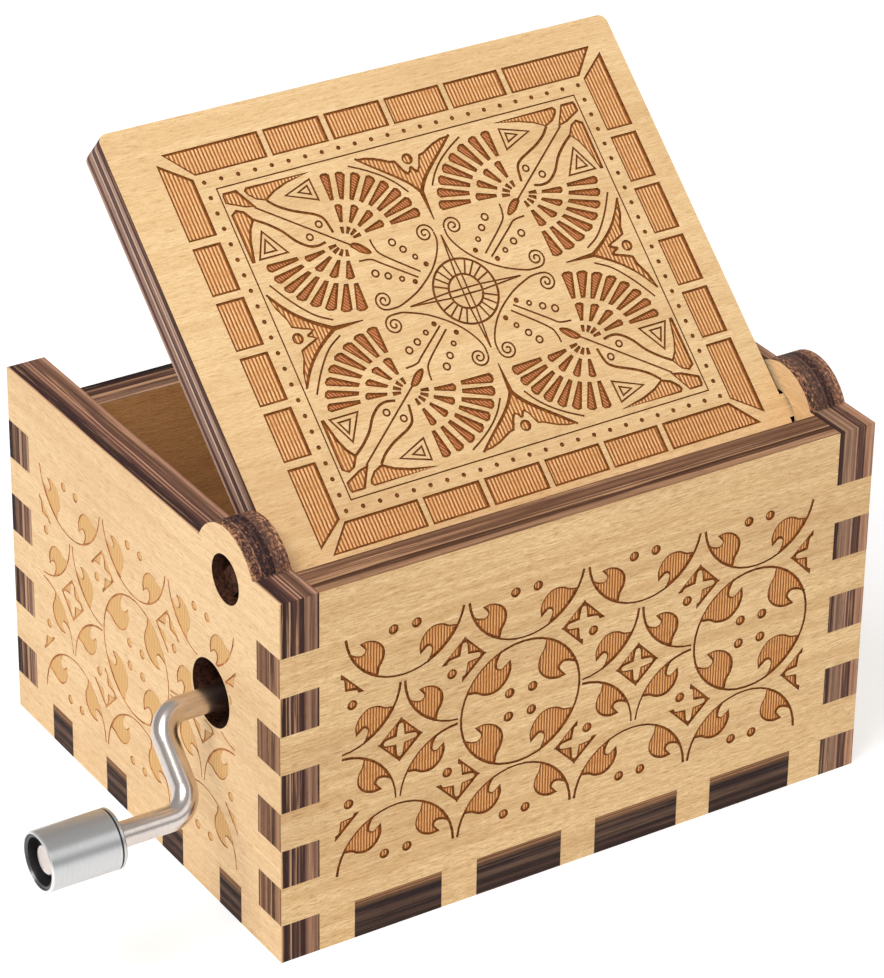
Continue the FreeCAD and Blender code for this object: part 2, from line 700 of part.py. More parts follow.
def bushes():
    """Bushes of the crank shaft and of the arbor, with their flanges towards worm and cylinder."""
    backwards_x = Rotation(Vector(0, 1, 0), -90)
    backwards_y = Rotation(Vector(1, 0, 0), 90)
    shaft_bore = "wire_radius + shaft_play"
    arbor_bore = "arbor_radius + shaft_play"
    right = flanged_bush("shaft_bush_right", shaft_bore, "shaft_bush_radius", "lug_thickness",
                         "cylinder_x + lug_inner - bush_flange", "crank_y", "crank_z", ALONG_X)
    left = flanged_bush("shaft_bush_left", shaft_bore, "shaft_bush_radius", "lug_thickness",
                        "cylinder_x - lug_inner + bush_flange", "crank_y", "crank_z", backwards_x)
    group("shaft_bushes", [right, left])
    gear = flanged_bush("arbor_bush_gear", arbor_bore, "arbor_bush_radius", "bracket_thickness",
                        "cylinder_x", "plate_y - bush_flange", "cylinder_z", ALONG_Y)
    tail = flanged_bush("arbor_bush_tail", arbor_bore, "arbor_bush_radius", "bracket_thickness",
                        "cylinder_x", "tail_plate_y + bush_flange", "cylinder_z", backwards_y)
    group("arbor_bushes", [gear, tail])


def screws():
    foot_seat = "bed_top + bracket_thickness"
    group("comb_screws", [cheese_head_screw(f"comb_screw_{number}", x, y, "comb_top")
                          for number, (x, y) in enumerate(COMB_SCREWS, start=1)])
    group("bracket_screws", [cheese_head_screw(f"bracket_screw_{number}", x, y, foot_seat)
                             for number, (x, y) in enumerate(BRACKET_SCREWS + TAIL_SCREWS, start=1)])
    group("movement_screws", [fixing_screw(f"movement_screw_{number}", x, y)
                              for number, (x, y) in enumerate(FIXINGS, start=1)])


# ---------------------------------------------------------------- the comb

NOTES = int(value("note_count"))


def tooth_edge(number):
    """Y of the slot after tooth number, counted from the long teeth."""
    return f"cylinder_y + ({number} - note_count / 2) * note_pitch"


def root_at(number):
    """X of the comb's root line at the slot after tooth number."""
    return f"tip_x - long_tooth + (long_tooth - short_tooth) * {number} / note_count"


def comb():
    """The steel comb: a thick back, teeth ground thin from below, and slots between them."""
    body = new_body("comb")
    low, high = "cylinder_y - comb_half", "cylinder_y + comb_half"
    first, last = tooth_edge(0), tooth_edge(NOTES)
    blank = outline(body, "comb_outline",
                    [("comb_back", low), (root_at(0), low), (root_at(0), first), ("tip_x", first),
                     ("tip_x", last), (root_at(NOTES), last), (root_at(NOTES), high), ("comb_back", high)],
                    offset="comb_under")
    pad(body, "comb_blank", blank, "comb_thickness")
    relief = outline(body, "comb_relief_outline",
                     [(root_at(0), first), ("tip_x", first), ("tip_x", last), (root_at(NOTES), last)],
                     offset="comb_under")
    pocket(body, "comb_relief", relief, "comb_thickness - tooth_thickness", back=True)
    slots = new_sketch(body, "comb_slot_outline", offset="comb_top")
    for number in range(1, NOTES):
        centre = tooth_edge(number)
        draw_polygon(slots, rectangle(root_at(number), "tip_x + tip_gap",
                                      f"{centre} - tooth_gap / 2", f"{centre} + tooth_gap / 2"))
    pocket(body, "comb_slots", slots, "comb_thickness")
    holes = circles(body, "comb_hole_outline", COMB_SCREWS, "screw_radius + screw_play", offset="comb_top")
    pocket(body, "comb_holes", holes, "comb_thickness")
    return body


def comb_weights():
    """Lead weights soldered under the tips of the longest teeth."""
    weights = []
    for number in range(int(value("weight_count"))):
        weights.append(block(f"weight_{number + 1}", "tip_x - weight_length - tip_gap",
                             f"{tooth_edge(number)} + tooth_gap / 2",
                             "comb_top - tooth_thickness - weight_height",
                             "weight_length", "note_pitch - tooth_gap", "weight_height"))
    group("comb_weights", weights)


# ---------------------------------------------------------------- cylinder and worm wheel

GOLDEN_TURN = 137.508   # degrees from one raised point to the next, so that none repeat


def music_cylinder():
    """The brass sleeve with its raised points, one track of them under each tooth."""
    radius = value("cylinder_radius")
    length = 2 * value("cylinder_half")
    sleeve = Part.makeCylinder(radius, length).cut(
        Part.makeCylinder(radius - value("cylinder_wall"), length))
    foot = value("pin_radius")
    rise = value("pin_height")
    sunk = value("cylinder_wall") / 2
    points = []
    for number in range(NOTES * int(value("pins_per_note"))):
        track = number % NOTES
        height = value(f"cylinder_margin + ({track} + 0.5) * note_pitch")
        angle = math.radians(number * GOLDEN_TURN)
        out = Vector(math.cos(angle), math.sin(angle), 0)
        start = out * (radius - sunk) + Vector(0, 0, height)
        points.append(Part.makeCone(foot, foot / 3, rise + sunk, start, out))
    item = doc.addObject("Part::Feature", "cylinder_sleeve")
    item.Shape = sleeve.multiFuse(points)
    place(item, "cylinder_x", "cylinder_low", "cylinder_z", ALONG_Y)
    return node(item, "music_cylinder")


def cylinder_caps():
    """A disc pressed into each end of the sleeve."""
    caps = []
    ends = {"tail": "cylinder_low", "gear": "cylinder_high - cap_thickness"}
    for name, start in ends.items():
        disc = cylinder(f"cap_{name}_disc", "cylinder_radius - cylinder_wall", "cap_thickness",
                        "cylinder_x", start, "cylinder_z", ALONG_Y)
        hole = cylinder(f"cap_{name}_bore", "arbor_radius", "cap_thickness",
                        "cylinder_x", start, "cylinder_z", ALONG_Y)
        caps.append(cut_away(f"cap_{name}", disc, [hole]))
    group("cylinder_caps", caps)


def arbor():
    """The steel arbor, through both brackets, with a retaining ring at the tail."""
    start = "tail_plate_y - bracket_thickness - end_play - ring_thickness - shaft_tail"
    length = f"plate_y + bracket_thickness - ({start})"
    node(cylinder("arbor_rod", "arbor_radius", length, "cylinder_x", start, "cylinder_z", ALONG_Y),
         "cylinder_arbor")
    retaining_ring("arbor_ring", "arbor_radius", "cylinder_x", f"{start} + shaft_tail", "cylinder_z", ALONG_Y)


def half_tooth(radius, teeth, module, flank):
    """Half the width of an involute tooth at a radius, as an angle in radians."""
    pitch = module * teeth / 2
    base = pitch * math.cos(flank)
    local = math.acos(min(1.0, base / radius))
    involute = math.tan(local) - local
    return math.pi / (2 * teeth) + math.tan(flank) - flank - involute


def worm_wheel():
    """The worm wheel: helical teeth that follow the worm's lead, and a hub."""
    body = new_body("worm_wheel")
    half = "wheel_width / 2"
    disc = circles(body, "wheel_disc_outline", [(0, 0)], "wheel_root", offset=f"-{half}")
    pad(body, "wheel_disc", disc, "wheel_width")
    hub = circles(body, "wheel_hub_outline", [(0, 0)], "hub_radius", offset=f"-{half}")
    pad(body, "wheel_hub", hub, "hub_length", back=True)
    far = circles(body, "wheel_far_hub_outline", [(0, 0)], "hub_radius", offset=half)
    pad(body, "wheel_far_hub", far, "far_hub")

    teeth = int(value("wheel_teeth"))
    flank = math.radians(value("pressure_angle"))
    play = value("backlash") / (2 * value("wheel_pitch_radius"))
    heights = ["wheel_root - backlash", "wheel_pitch_radius", "wheel_outer"]
    upper = []
    for height in heights:
        angle = half_tooth(value(height), teeth, value("gear_module"), flank) - play
        degrees = math.degrees(angle)
        upper.append((f"({height}) * cos({degrees:.6f})", f"({height}) * sin({degrees:.6f})"))
    lower = [(x, f"-{y}") for x, y in upper]
    profile = lower + upper[::-1]
    lead = value("gear_module") / (2 * value("worm_pitch_radius"))
    twist = math.degrees(lead * value("wheel_width") / value("wheel_pitch_radius"))
    ends = [
        outline(body, f"tooth_{name}_outline", profile, offset=f"{sign} * {half}", turn=sign * twist / 2)
        for name, sign in (("tail", -1), ("gear", 1))
    ]
    doc.recompute()
    tooth = body.newObject("PartDesign::AdditiveLoft", "wheel_tooth")
    tooth.Profile = ends[0]
    tooth.Sections = [ends[1]]
    tooth.Ruled = True
    doc.recompute()
    ring = body.newObject("PartDesign::PolarPattern", "wheel_teeth_ring")
    ring.Originals = [tooth]
    ring.Axis = (ends[0], ["N_Axis"])
    ring.Angle = 360
    bind(ring, Occurrences="wheel_teeth")
    body.Tip = ring
    doc.recompute()
    bore = circles(body, "wheel_bore_outline", [(0, 0)], "arbor_radius", offset=f"{half} + far_hub")
    pocket(body, "wheel_bore", bore, "wheel_width + hub_length + far_hub")
    # a space between two teeth stands straight up, under the worm
    spaced = Rotation(Vector(0, 0, 1), -90 + 180 / teeth)
    return place(body, "cylinder_x", "crank_y", "cylinder_z", ALONG_Y.multiply(spaced))


# ---------------------------------------------------------------- crank, worm and knob

def crank_wire():
    """The crank: one wire with two right-angled bends, and a peened head at its outer end."""
    body = new_body("crank_wire")
    start = "shaft_end_x - arm_x"
    end = "wire_end_x - arm_x"
    round_start = circles(body, "wire_section", [(0, 0)], "wire_radius", offset=start)

    path = new_sketch(body, "wire_path", "XZ")
    first = ["0", start]
    bend_in = ["0", "-bend_radius"]
    arm_in = ["bend_radius", "0"]
    arm_out = ["throw - bend_radius", "0"]
    bend_out = ["throw", "bend_radius"]
    last = ["throw", end]

    def spot(pair):
        return Vector(value(pair[0]), value(pair[1]), 0)

    def line(a, b):
        return path.addGeometry(Part.LineSegment(spot(a), spot(b)))

    def bend(centre, low, high):
        circle = Part.Circle(spot(centre), Vector(0, 0, 1), value("bend_radius"))
        return path.addGeometry(Part.ArcOfCircle(circle, math.radians(low), math.radians(high)))

    shaft = line(first, bend_in)
    inner = bend(["bend_radius", "-bend_radius"], 90, 180)
    arm = line(arm_in, arm_out)
    outer = bend(["throw - bend_radius", "bend_radius"], 270, 360)
    grip = line(bend_out, last)
    joined = ((shaft, 2, inner, 2), (inner, 1, arm, 1), (arm, 2, outer, 1), (outer, 2, grip, 1))
    for one, end_one, two, end_two in joined:
        path.addConstraint(Sketcher.Constraint("Coincident", one, end_one, two, end_two))
    fix_point(path, shaft, 1, *first)
    fix_point(path, shaft, 2, *bend_in)
    fix_point(path, arm, 1, *arm_in)
    fix_point(path, arm, 2, *arm_out)
    fix_point(path, grip, 1, *bend_out)
    fix_point(path, grip, 2, *last)
    for arc in (inner, outer):
        dimension(path, "Radius", arc, size="bend_radius")
    doc.recompute()

    pipe = body.newObject("PartDesign::AdditivePipe", "wire_bent")
    pipe.Profile = round_start
    pipe.Spine = (path, [f"Edge{number + 1}" for number in range(path.GeometryCount)])
    round_start.Visibility = path.Visibility = False
    doc.recompute()
    head = circles(body, "wire_head_outline", [("throw", "0")], "wire_head_radius", offset=end)
    pad(body, "wire_head", head, "wire_head_height")
    round_edges(body, "wire_head_dome", "wire_head_height * 0.6",
                lambda edge: edge.BoundBox.ZLength < 1e-3
                and abs(edge.BoundBox.ZMax - value(f"{end} + wire_head_height")) < 1e-3)
    aimed = Rotation(Vector(1, 0, 0), value("arm_angle")).multiply(ALONG_X)
    return place(body, "arm_x", "crank_y", "crank_z", aimed)


def worm():
    """The worm: a sleeve pressed on the crank wire, with a single-start right-hand thread."""
    body = new_body("worm")
    core = circles(body, "worm_core_outline", [(0, 0)], "worm_root", offset="-worm_half")
    pad(body, "worm_core", core, "2 * worm_half")
    flank = math.tan(math.radians(value("pressure_angle")))
    middle = "worm_lead / 4 - backlash / 2"
    tip = f"{middle} - gear_module * {flank:.8f}"
    foot = f"{middle} + (tooth_root + backlash) * {flank:.8f}"
    start = "worm_lead * worm_turns / 2"
    inside = "worm_root - backlash"
    profile = [
        (inside, f"-({start}) - ({foot})"), ("worm_outer", f"-({start}) - ({tip})"),
        ("worm_outer", f"-({start}) + {tip}"), (inside, f"-({start}) + {foot}"),
    ]
    sketch = outline(body, "worm_thread_outline", profile, "XZ")
    thread = body.newObject("PartDesign::AdditiveHelix", "worm_thread")
    thread.Profile = sketch
    thread.ReferenceAxis = (sketch, ["V_Axis"])
    thread.Mode = 0
    bind(thread, Pitch="worm_lead", Height="worm_lead * worm_turns")
    sketch.Visibility = False
    doc.recompute()
    bore = circles(body, "worm_bore_outline", [(0, 0)], "wire_radius", offset="worm_half")
    pocket(body, "worm_bore", bore, "2 * worm_half")
    return place(body, "cylinder_x", "crank_y", "crank_z", ALONG_X)


def knob_sleeve():
    """The turned aluminium sleeve of the knob, with a groove near its inner end."""
    body = new_body("knob_sleeve")
    edge = "sleeve_wall / 2"
    groove = "liner_rim"
    turned(body, "sleeve", [
        ("liner_radius", "0"), (f"knob_radius - {edge}", "0"), ("knob_radius", edge),
        ("knob_radius", groove), (f"knob_radius - {edge}", f"{groove} + {edge} / 2"),
        (f"knob_radius - {edge}", f"{groove} + {edge}"), ("knob_radius", f"{groove} + {edge} * 1.5"),
        ("knob_radius", f"knob_length - {edge}"), (f"knob_radius - {edge}", "knob_length"),
        ("liner_radius", "knob_length"),
    ])
    return place(body, "knob_x", "knob_y", "knob_z", ALONG_X)


def knob_liner():
    """The black liner that the wire turns in, with an open cup around the wire's head."""
    body = new_body("knob_liner")
    bore = "wire_radius + knob_play"
    cup = "liner_radius - liner_rim"
    turned(body, "liner", [
        (bore, "0"), ("liner_radius", "0"), ("liner_radius", "liner_length"),
        (cup, "liner_length"), (cup, "cup_floor"), (bore, "cup_floor"),
    ])
    return place(body, "knob_x", "knob_y", "knob_z", ALONG_X)


# ---------------------------------------------------------------- build, check and write

hinge = {"hinge_hole": ("hinge_y", "hinge_z", "hinge_hole")}
crank_hole = {"crank_hole": ("crank_y", "crank_z + hole_rise", "hole_radius")}
bottom_board()
long_wall("front_wall", "-half_depth", "front_top")
long_wall("back_wall", "half_depth", "wall_height")
side_wall("crank_wall", "inner_x", {**hinge, **crank_hole})
side_wall("plain_wall", "-half_length", hinge)
lid()
bedplate()
gear_bracket()
tail_bracket()
bushes()
comb()
comb_weights()
screws()
music_cylinder()
cylinder_caps()
arbor()
worm_wheel()
crank_wire()
worm()
retaining_ring("shaft_ring", "wire_radius", "cylinder_x - lug_outer - end_play - ring_thickness",
               "crank_y", "crank_z", ALONG_X)
knob_sleeve()
knob_liner()
doc.recompute()

for item in doc.Objects:
    if "Invalid" in item.State or "Error" in item.State:
        raise RuntimeError(f"{item.Name} ({item.Label}) is {item.State}")
for label, item in NODES.items():
    if item.Shape.isNull() or not item.Shape.isValid():
        raise RuntimeError(f"{label} has no valid shape")

os.makedirs("parts", exist_ok=True)
for label, item in NODES.items():
    item.Shape.exportStep(f"parts/{label}.step")
    box = item.Shape.BoundBox
    print(f"{label:18s} solids {len(item.Shape.Solids):2d} volume {item.Shape.Volume:10.2f} "
          f"x {box.XMin:7.2f} {box.XMax:7.2f} y {box.YMin:7.2f} {box.YMax:7.2f} z {box.ZMin:7.2f} {box.ZMax:7.2f}")
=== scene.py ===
"""Looks of a small hand-cranked music box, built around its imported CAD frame.

The plywood boards are copied and engraved here: each ornament is drawn as flat areas and lines,
the face of the board is triangulated around it, and the drawn parts are sunk. The metal and nylon
pieces keep their CAD meshes and get finishes. Drawings are in millimetres, everything in Blender
is in metres.
"""
import json
import math
from collections import namedtuple

import bmesh
import bpy
import numpy as np
from mathutils import Matrix, Vector
from mathutils.geometry import delaunay_2d_cdt


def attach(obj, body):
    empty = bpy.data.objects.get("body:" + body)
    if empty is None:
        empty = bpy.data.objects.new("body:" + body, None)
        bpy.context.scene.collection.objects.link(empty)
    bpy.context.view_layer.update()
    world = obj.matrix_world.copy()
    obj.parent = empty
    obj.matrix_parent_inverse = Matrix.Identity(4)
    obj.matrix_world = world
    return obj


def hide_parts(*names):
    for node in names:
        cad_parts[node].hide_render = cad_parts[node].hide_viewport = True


MM = 0.001
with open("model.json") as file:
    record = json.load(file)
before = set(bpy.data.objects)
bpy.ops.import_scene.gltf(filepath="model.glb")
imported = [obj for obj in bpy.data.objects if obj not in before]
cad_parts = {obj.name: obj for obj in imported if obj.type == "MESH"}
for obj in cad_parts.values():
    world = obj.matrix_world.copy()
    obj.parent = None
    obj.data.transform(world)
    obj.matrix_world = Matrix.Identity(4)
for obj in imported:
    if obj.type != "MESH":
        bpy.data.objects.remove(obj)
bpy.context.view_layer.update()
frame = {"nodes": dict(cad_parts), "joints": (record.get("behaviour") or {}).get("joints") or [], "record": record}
nodes = frame["nodes"]
joints = {joint["name"]: joint for joint in frame["joints"]}

LID_OPEN = -math.radians(joints["lid_hinge"]["range_deg"][0])
LID_HINGE = Vector(joints["lid_hinge"]["pos_m"])
LID_UP = Vector((0, -math.cos(LID_OPEN), math.sin(LID_OPEN)))
HINGE_HOLE = 2.7  # mm; cut surfaces nearer to the hinge axis are in the hinge holes
TONGUE_FROM = 27.7  # mm from the middle, where the tongues of the lid begin
CRANK_HOLE = (13.2, 22.1, 3.65)  # mm: centre, and the radius kept free of engraving

# --- camera, fitted to the photograph
VIEW_AIM = Vector((0.0, 1.12, 28.0)) * MM
VIEW_DISTANCE = 408.85 * MM
VIEW_DIRECTION = Vector((-0.46971, -0.73427, -0.49013))
VIEW_ROLL = 0.843  # degrees, clockwise in the picture
VIEW_SENSOR = 36  # mm
VIEW_LENS = 159.25  # mm of focal length

# --- engraving
ENGRAVING = (0.1, 0.11)  # mm: depth, and reach of the burnt rim to both sides of an outline
FAINT_ENGRAVING = (0.05, 0.06)
FAINT_LINES = 0.75  # line widths of a faint engraving, next to a full one
WELD = 1e-6  # m, vertices nearer than this are one
TOUCH = 2e-4  # mm, a drawn point nearer than this to an edge of the board is on it
INSIDE_ONLY = 1  # what delaunay_2d_cdt returns: the triangles inside the outlines
MITRE_LIMIT = 0.45  # sharper corners of a stroke are cut short
PLAIN, LINE, FILL, FAN = "plain", "line", "fill", "fan"

# A mark is an area where width is None, else a stroke with the widths at its two ends.
Mark = namedtuple("Mark", "kind points width closed")


def area(points, kind=FILL):
    return Mark(kind, np.array(points, float), None, True)


def stroke(points, width, closed=False):
    """A line; width is one number, or the widths at its two ends."""
    ends = width if isinstance(width, tuple) else (width, width)
    return Mark(LINE, np.array(points, float), ends, closed)


def polar(centre, radius, angles):
    """The points at these angles, in degrees. radius is one number, or one for each point."""
    angles = np.radians(angles)
    return np.stack([centre[0] + radius * np.cos(angles), centre[1] + radius * np.sin(angles)], 1)


def circle(centre, radius, start=0.0, end=360.0, step=9.0):
    """Points on an arc, angles in degrees. A whole turn leaves its last point out."""
    count = max(2, int(math.ceil(abs(end - start) / step)))
    turns = np.linspace(start, end, count + 1)
    if abs(end - start) >= 360.0:
        turns = turns[:-1]
    return polar(centre, radius, turns)


def smooth(points, steps=5):
    """A Catmull-Rom curve through the points."""
    line = np.array(points, float)
    padded = np.vstack([2 * line[0] - line[1], line, 2 * line[-1] - line[-2]])
    curve = []
    for a, b, c, d in zip(padded, padded[1:], padded[2:], padded[3:]):
        for t in np.arange(steps) / steps:
            curve.append(0.5 * (2 * b + (c - a) * t + (2 * a - 5 * b + 4 * c - d) * t ** 2
                                + (3 * b - a - 3 * c + d) * t ** 3))
    return np.array(curve + [line[-1]])


def moved(marks, change):
    """The marks with every point array put through change."""
    return [mark._replace(points=change(mark.points)) for mark in marks]


def unit(vectors):
    length = np.linalg.norm(vectors, axis=1, keepdims=True)
    return vectors / np.maximum(length, 1e-9)


def band(line, width, closed):
    """Outline loops of a stroke, whose width holds the widths at its ends."""
    widths = np.linspace(*width, len(line))
    if closed:
        arriving, leaving = unit(line - np.roll(line, 1, 0)), unit(np.roll(line, -1, 0) - line)
    else:
        steps = unit(np.diff(line, axis=0))
        arriving, leaving = np.vstack([steps[:1], steps]), np.vstack([steps, steps[-1:]])
    heading = unit(arriving + leaving)
    mitre = 1 / np.clip((heading * leaving).sum(1), MITRE_LIMIT, 1)
    side = np.stack([-heading[:, 1], heading[:, 0]], 1) * (widths * mitre / 2)[:, None]
    if closed:
        return [line + side, (line - side)[::-1]]
    return [np.vstack([line + side, (line - side)[::-1]])]


def layers(marks, rim):
    """(kind, loops, is_cut) from low to high priority. Only loops with is_cut divide the face."""
    fields = [mark for mark in marks if mark.width is None and mark.kind != PLAIN]
    low = [(mark.kind, [mark.points], False) for mark in fields]
    rims = [(LINE, band(mark.points, (2 * rim, 2 * rim), True), True) for mark in fields]
    drawn = [(LINE, band(mark.points, mark.width, mark.closed), True)
             for mark in marks if mark.width is not None]
    kept = [(PLAIN, [mark.points], True) for mark in marks if mark.kind == PLAIN]
    return low + rims + drawn + kept


def inside(points, loops):
    """Which points have a non-zero winding number in the loops."""
    winding = np.zeros(len(points), int)
    for loop in loops:
        start, end = loop, np.roll(loop, -1, 0)
        px, py = points[:, 0:1], points[:, 1:2]
        run, rise = (end - start).T
        side = run * (py - start[:, 1]) - (px - start[:, 0]) * rise
        up = (start[:, 1] <= py) & (end[:, 1] > py) & (side > 0)
        down = (start[:, 1] > py) & (end[:, 1] <= py) & (side < 0)
        winding += up.sum(1) - down.sum(1)
    return winding != 0


# --- ornament of the walls
LEAF_HOOK = [(-5.88, -2.42), (-5.17, -2.78), (-4.46, -2.88), (-4.06, -2.58), (-4.01, -2.17),
             (-4.31, -1.77), (-4.62, -1.41)]
LEAF_BACK = [(-4.62, -1.41), (-3.76, -1.31), (-2.75, -1.67), (-2.04, -2.37), (-1.79, -3.18),
             (-1.94, -4.09), (-2.34, -4.80), (-2.49, -5.71)]
LEAF_CIRCLE = 6.34  # radius of the circle that the leaf hangs on
LEAF_INSET = 0.05  # how far inside it the leaf's root runs
LEAF_ROOT_ARC = (246.5, 202.5)  # degrees
LEAF_ROOT = np.array([-4.46, -4.46])
SMALL_LEAF = 0.86  # size of the leaves outside the full circles
SCROLL_DOT = 0.42
SCROLL_DOT_AT = 1.23
SCROLL_ROW_GAP = 0.18  # what the rows of circles lie apart beyond their pitch
SCROLL_CLEAR = 0.22  # how far every open arc stays inside its lattice circle
SCROLL_STROKE = (0.18, 0.28)
CIRCLE_STROKE = 0.24
TOP_TIPS = (188, 352)  # degrees, where the arcs above the middle row end
BOTTOM_TIPS = (3, 177)  # the same below it
STAR_TIP = 3  # degrees that an arc around a star stops short of a quarter turn, at both ends
DIAMOND = 2.14  # half diagonal
DIAMOND_STROKE = 0.2
# a dark quarter of a diamond, between two arms of the light star in it
DIAMOND_WEDGE = [(-0.5, -0.5), (-1.48, -0.38), (-1.74, -0.26), (-1.84, 0), (-DIAMOND, 0),
                 (0, -DIAMOND), (0, -1.84), (-0.26, -1.74), (-0.38, -1.48)]
QUARTERS = {"lower_left": 0, "lower_right": 90, "upper_right": 180, "upper_left": 270}
STAR_CORNERS = (("upper_right", 0), ("upper_left", 90), ("lower_left", 180), ("lower_right", 270))
BOSS_STEP = 30  # degrees between the points of a dot that is an area


def turned(degrees, scale, shift):
    """A change of points: turn, scale and shift."""
    c, s = math.cos(math.radians(degrees)), math.sin(math.radians(degrees))
    matrix = np.array([[c, s], [-s, c]]) * scale
    return lambda points: points @ matrix + np.array(shift)


def leaf_quarter(centre, quarter, radius, size=1.0):
    """The curled leaf and the dot in one quarter of a circle. size scales the leaf about its root."""
    root = circle((0, 0), LEAF_CIRCLE - LEAF_INSET, *LEAF_ROOT_ARC, step=6)
    outline = np.vstack([smooth(LEAF_HOOK, 3), smooth(LEAF_BACK, 3)[1:-1], root])
    outline = LEAF_ROOT + (outline - LEAF_ROOT) * size
    dot = circle((-SCROLL_DOT_AT, -SCROLL_DOT_AT), SCROLL_DOT, step=BOSS_STEP)
    return moved([area(outline), area(dot)], turned(QUARTERS[quarter], radius / LEAF_CIRCLE, centre))


def diamond(centre, quarters):
    """A diamond around a light four-armed star, or some quarters of it."""
    edge = [(-DIAMOND, 0), (0, -DIAMOND)]
    marks = []
    for quarter in quarters:
        wedge = [area(DIAMOND_WEDGE), stroke(edge, DIAMOND_STROKE)]
        marks += moved(wedge, turned(QUARTERS[quarter], 1.0, centre))
    return marks


def scroll(cells, pitch):
    """A lattice of circles (o) and four-cornered stars (s) with curled leaves."""
    radius, columns = pitch / 2, len(cells)
    open_radius = radius - SCROLL_CLEAR
    place = [(column - (columns - 1) / 2) * pitch for column in range(columns)]
    row = pitch + SCROLL_ROW_GAP
    marks = []
    for x, cell in zip(place, cells):
        marks += [stroke(circle((x, row), open_radius, 270, tip), SCROLL_STROKE) for tip in TOP_TIPS]
        marks += [stroke(circle((x, -row), open_radius, 90, tip), SCROLL_STROKE) for tip in BOTTOM_TIPS]
        for y, half in ((row, "lower"), (-row, "upper")):
            for hand in ("_left", "_right"):
                marks += leaf_quarter((x, y), half + hand, open_radius, SMALL_LEAF)
        if cell == "o":
            marks.append(stroke(circle((x, 0), radius), CIRCLE_STROKE, closed=True))
            for quarter in QUARTERS:
                marks += leaf_quarter((x, 0), quarter, radius)
            continue
        marks += diamond((x, 0), QUARTERS)
        for quarter, start in STAR_CORNERS:
            side = 1 if "left" in quarter else -1
            rise = 1 if "lower" in quarter else -1
            corner = (x + side * radius, rise * radius)
            ends = (start + STAR_TIP, start + 90 - STAR_TIP)
            if quarter in ("upper_left", "lower_right"):
                ends = ends[::-1]
            widths = SCROLL_STROKE[::-1] if rise > 0 else SCROLL_STROKE
            marks.append(stroke(circle(corner, open_radius, *ends), widths))
            marks += leaf_quarter(corner, quarter, open_radius, SMALL_LEAF)
    for index in range(columns + 1):
        x = (index - columns / 2) * pitch
        left = cells[index - 1] if index > 0 else "s"
        right = cells[index] if index < columns else "s"
        for rise, near, far in ((1, "lower", "upper"), (-1, "upper", "lower")):
            quarters = []
            if index > 0:
                quarters += [far + "_left"] + ([near + "_left"] if left == "o" else [])
            if index < columns:
                quarters += [far + "_right"] + ([near + "_right"] if right == "o" else [])
            marks += diamond((x, rise * radius), quarters)
    return marks


# --- ornament of the lid
FIELD = (19.55, 15.6)  # half sides of the thin frame line
FRAME_STROKE = 0.14
BORDER_OUT = (24.15, 19.9)  # half sides of the block border
BORDER_IN = (21.45, 17.4)
BORDER_BLOCK = (5.8, 4.6)  # block lengths along the two directions
BORDER_GAP = (0.75, 0.9)
BORDER_BLOCKS = 4
MITRE_GAP = 0.95
DOT_ROW = (20.45, 16.45)
DOT_COUNT = (24, 22)
DOT_RADIUS = 0.22
DOT_STEP = 45  # degrees between the points of a dot that is a stroke
RING_STEP = 24
WHEEL = (3.25, 1.71)  # outer and inner ring
WHEEL_STROKES = (0.23, 0.22)
SPOKE_ANGLES = (22.5, 37.5, 52.5, 67.5)
SPOKE_STROKE = 0.18
WHEEL_RAYS = (6.05, 5.8)
RAY_HALF_WIDTH = 0.3
RAY_STROKE = 0.17
FAN_APEX = (9.55, 7.6)
FAN_SQUEEZE = 0.8  # the fans are wider than high
# the two rings of blades in a fan: count, reach (from, to), widths at these ends, first and last angle
FAN_RINGS = ((8, 5.3, 8.45, 0.22, 0.8, 95.4, 172), (4, 2.5, 4.5, 0.13, 0.58, 101, 167))
FAN_DASHES = (4, 1.0, 1.85, 99, 168)  # count, reach, angles
DASH_STROKE = (0.26, 0.42)
THIN_LINE = 0.185
# the parts of a quadrant that differ above and below its diagonal, each as (above, below)
CORNER_FIELDS = (
    [(16.95, 14.7), (16.75, 14.93), (10.2, 14.93), (12.7, 14.52), (14.2, 14.02), (15.3, 13.4),
     (16.2, 13.75), (16.8, 14.35)],
    [(19.15, 12.75), (18.6, 13.1), (17.95, 12.8), (17.35, 11.9), (17.98, 11.1), (18.45, 10.0),
     (18.95, 8.0), (19.12, 8.0)])
BODY_LINES = (
    [(15.3, 13.3), (14.5, 12.5), (13.4, 11.8), (12.3, 11.3), (11.3, 10.85), (10.6, 10.2), (10.3, 8.73)],
    [(17.3, 11.85), (16.2, 11.1), (15.1, 10.1), (14.2, 8.9), (13.2, 8.1), (12.3, 7.9), (11.4, 8.05)])
BODY_STROKE = 0.27
TRIANGLES = (
    ([(13.3, 13.3), (10.38, 14.25), (10.3, 12.1)], [(11.95, 13.28), (10.85, 13.7), (10.8, 12.8)]),
    ([(17.05, 10.6), (15.4, 8.05), (18.35, 8.05)], [(17.05, 9.75), (16.4, 8.52), (17.65, 8.52)]))
EYES = ((11.33, 9.85), (12.72, 8.88))
EYE_RADIUS = 0.31
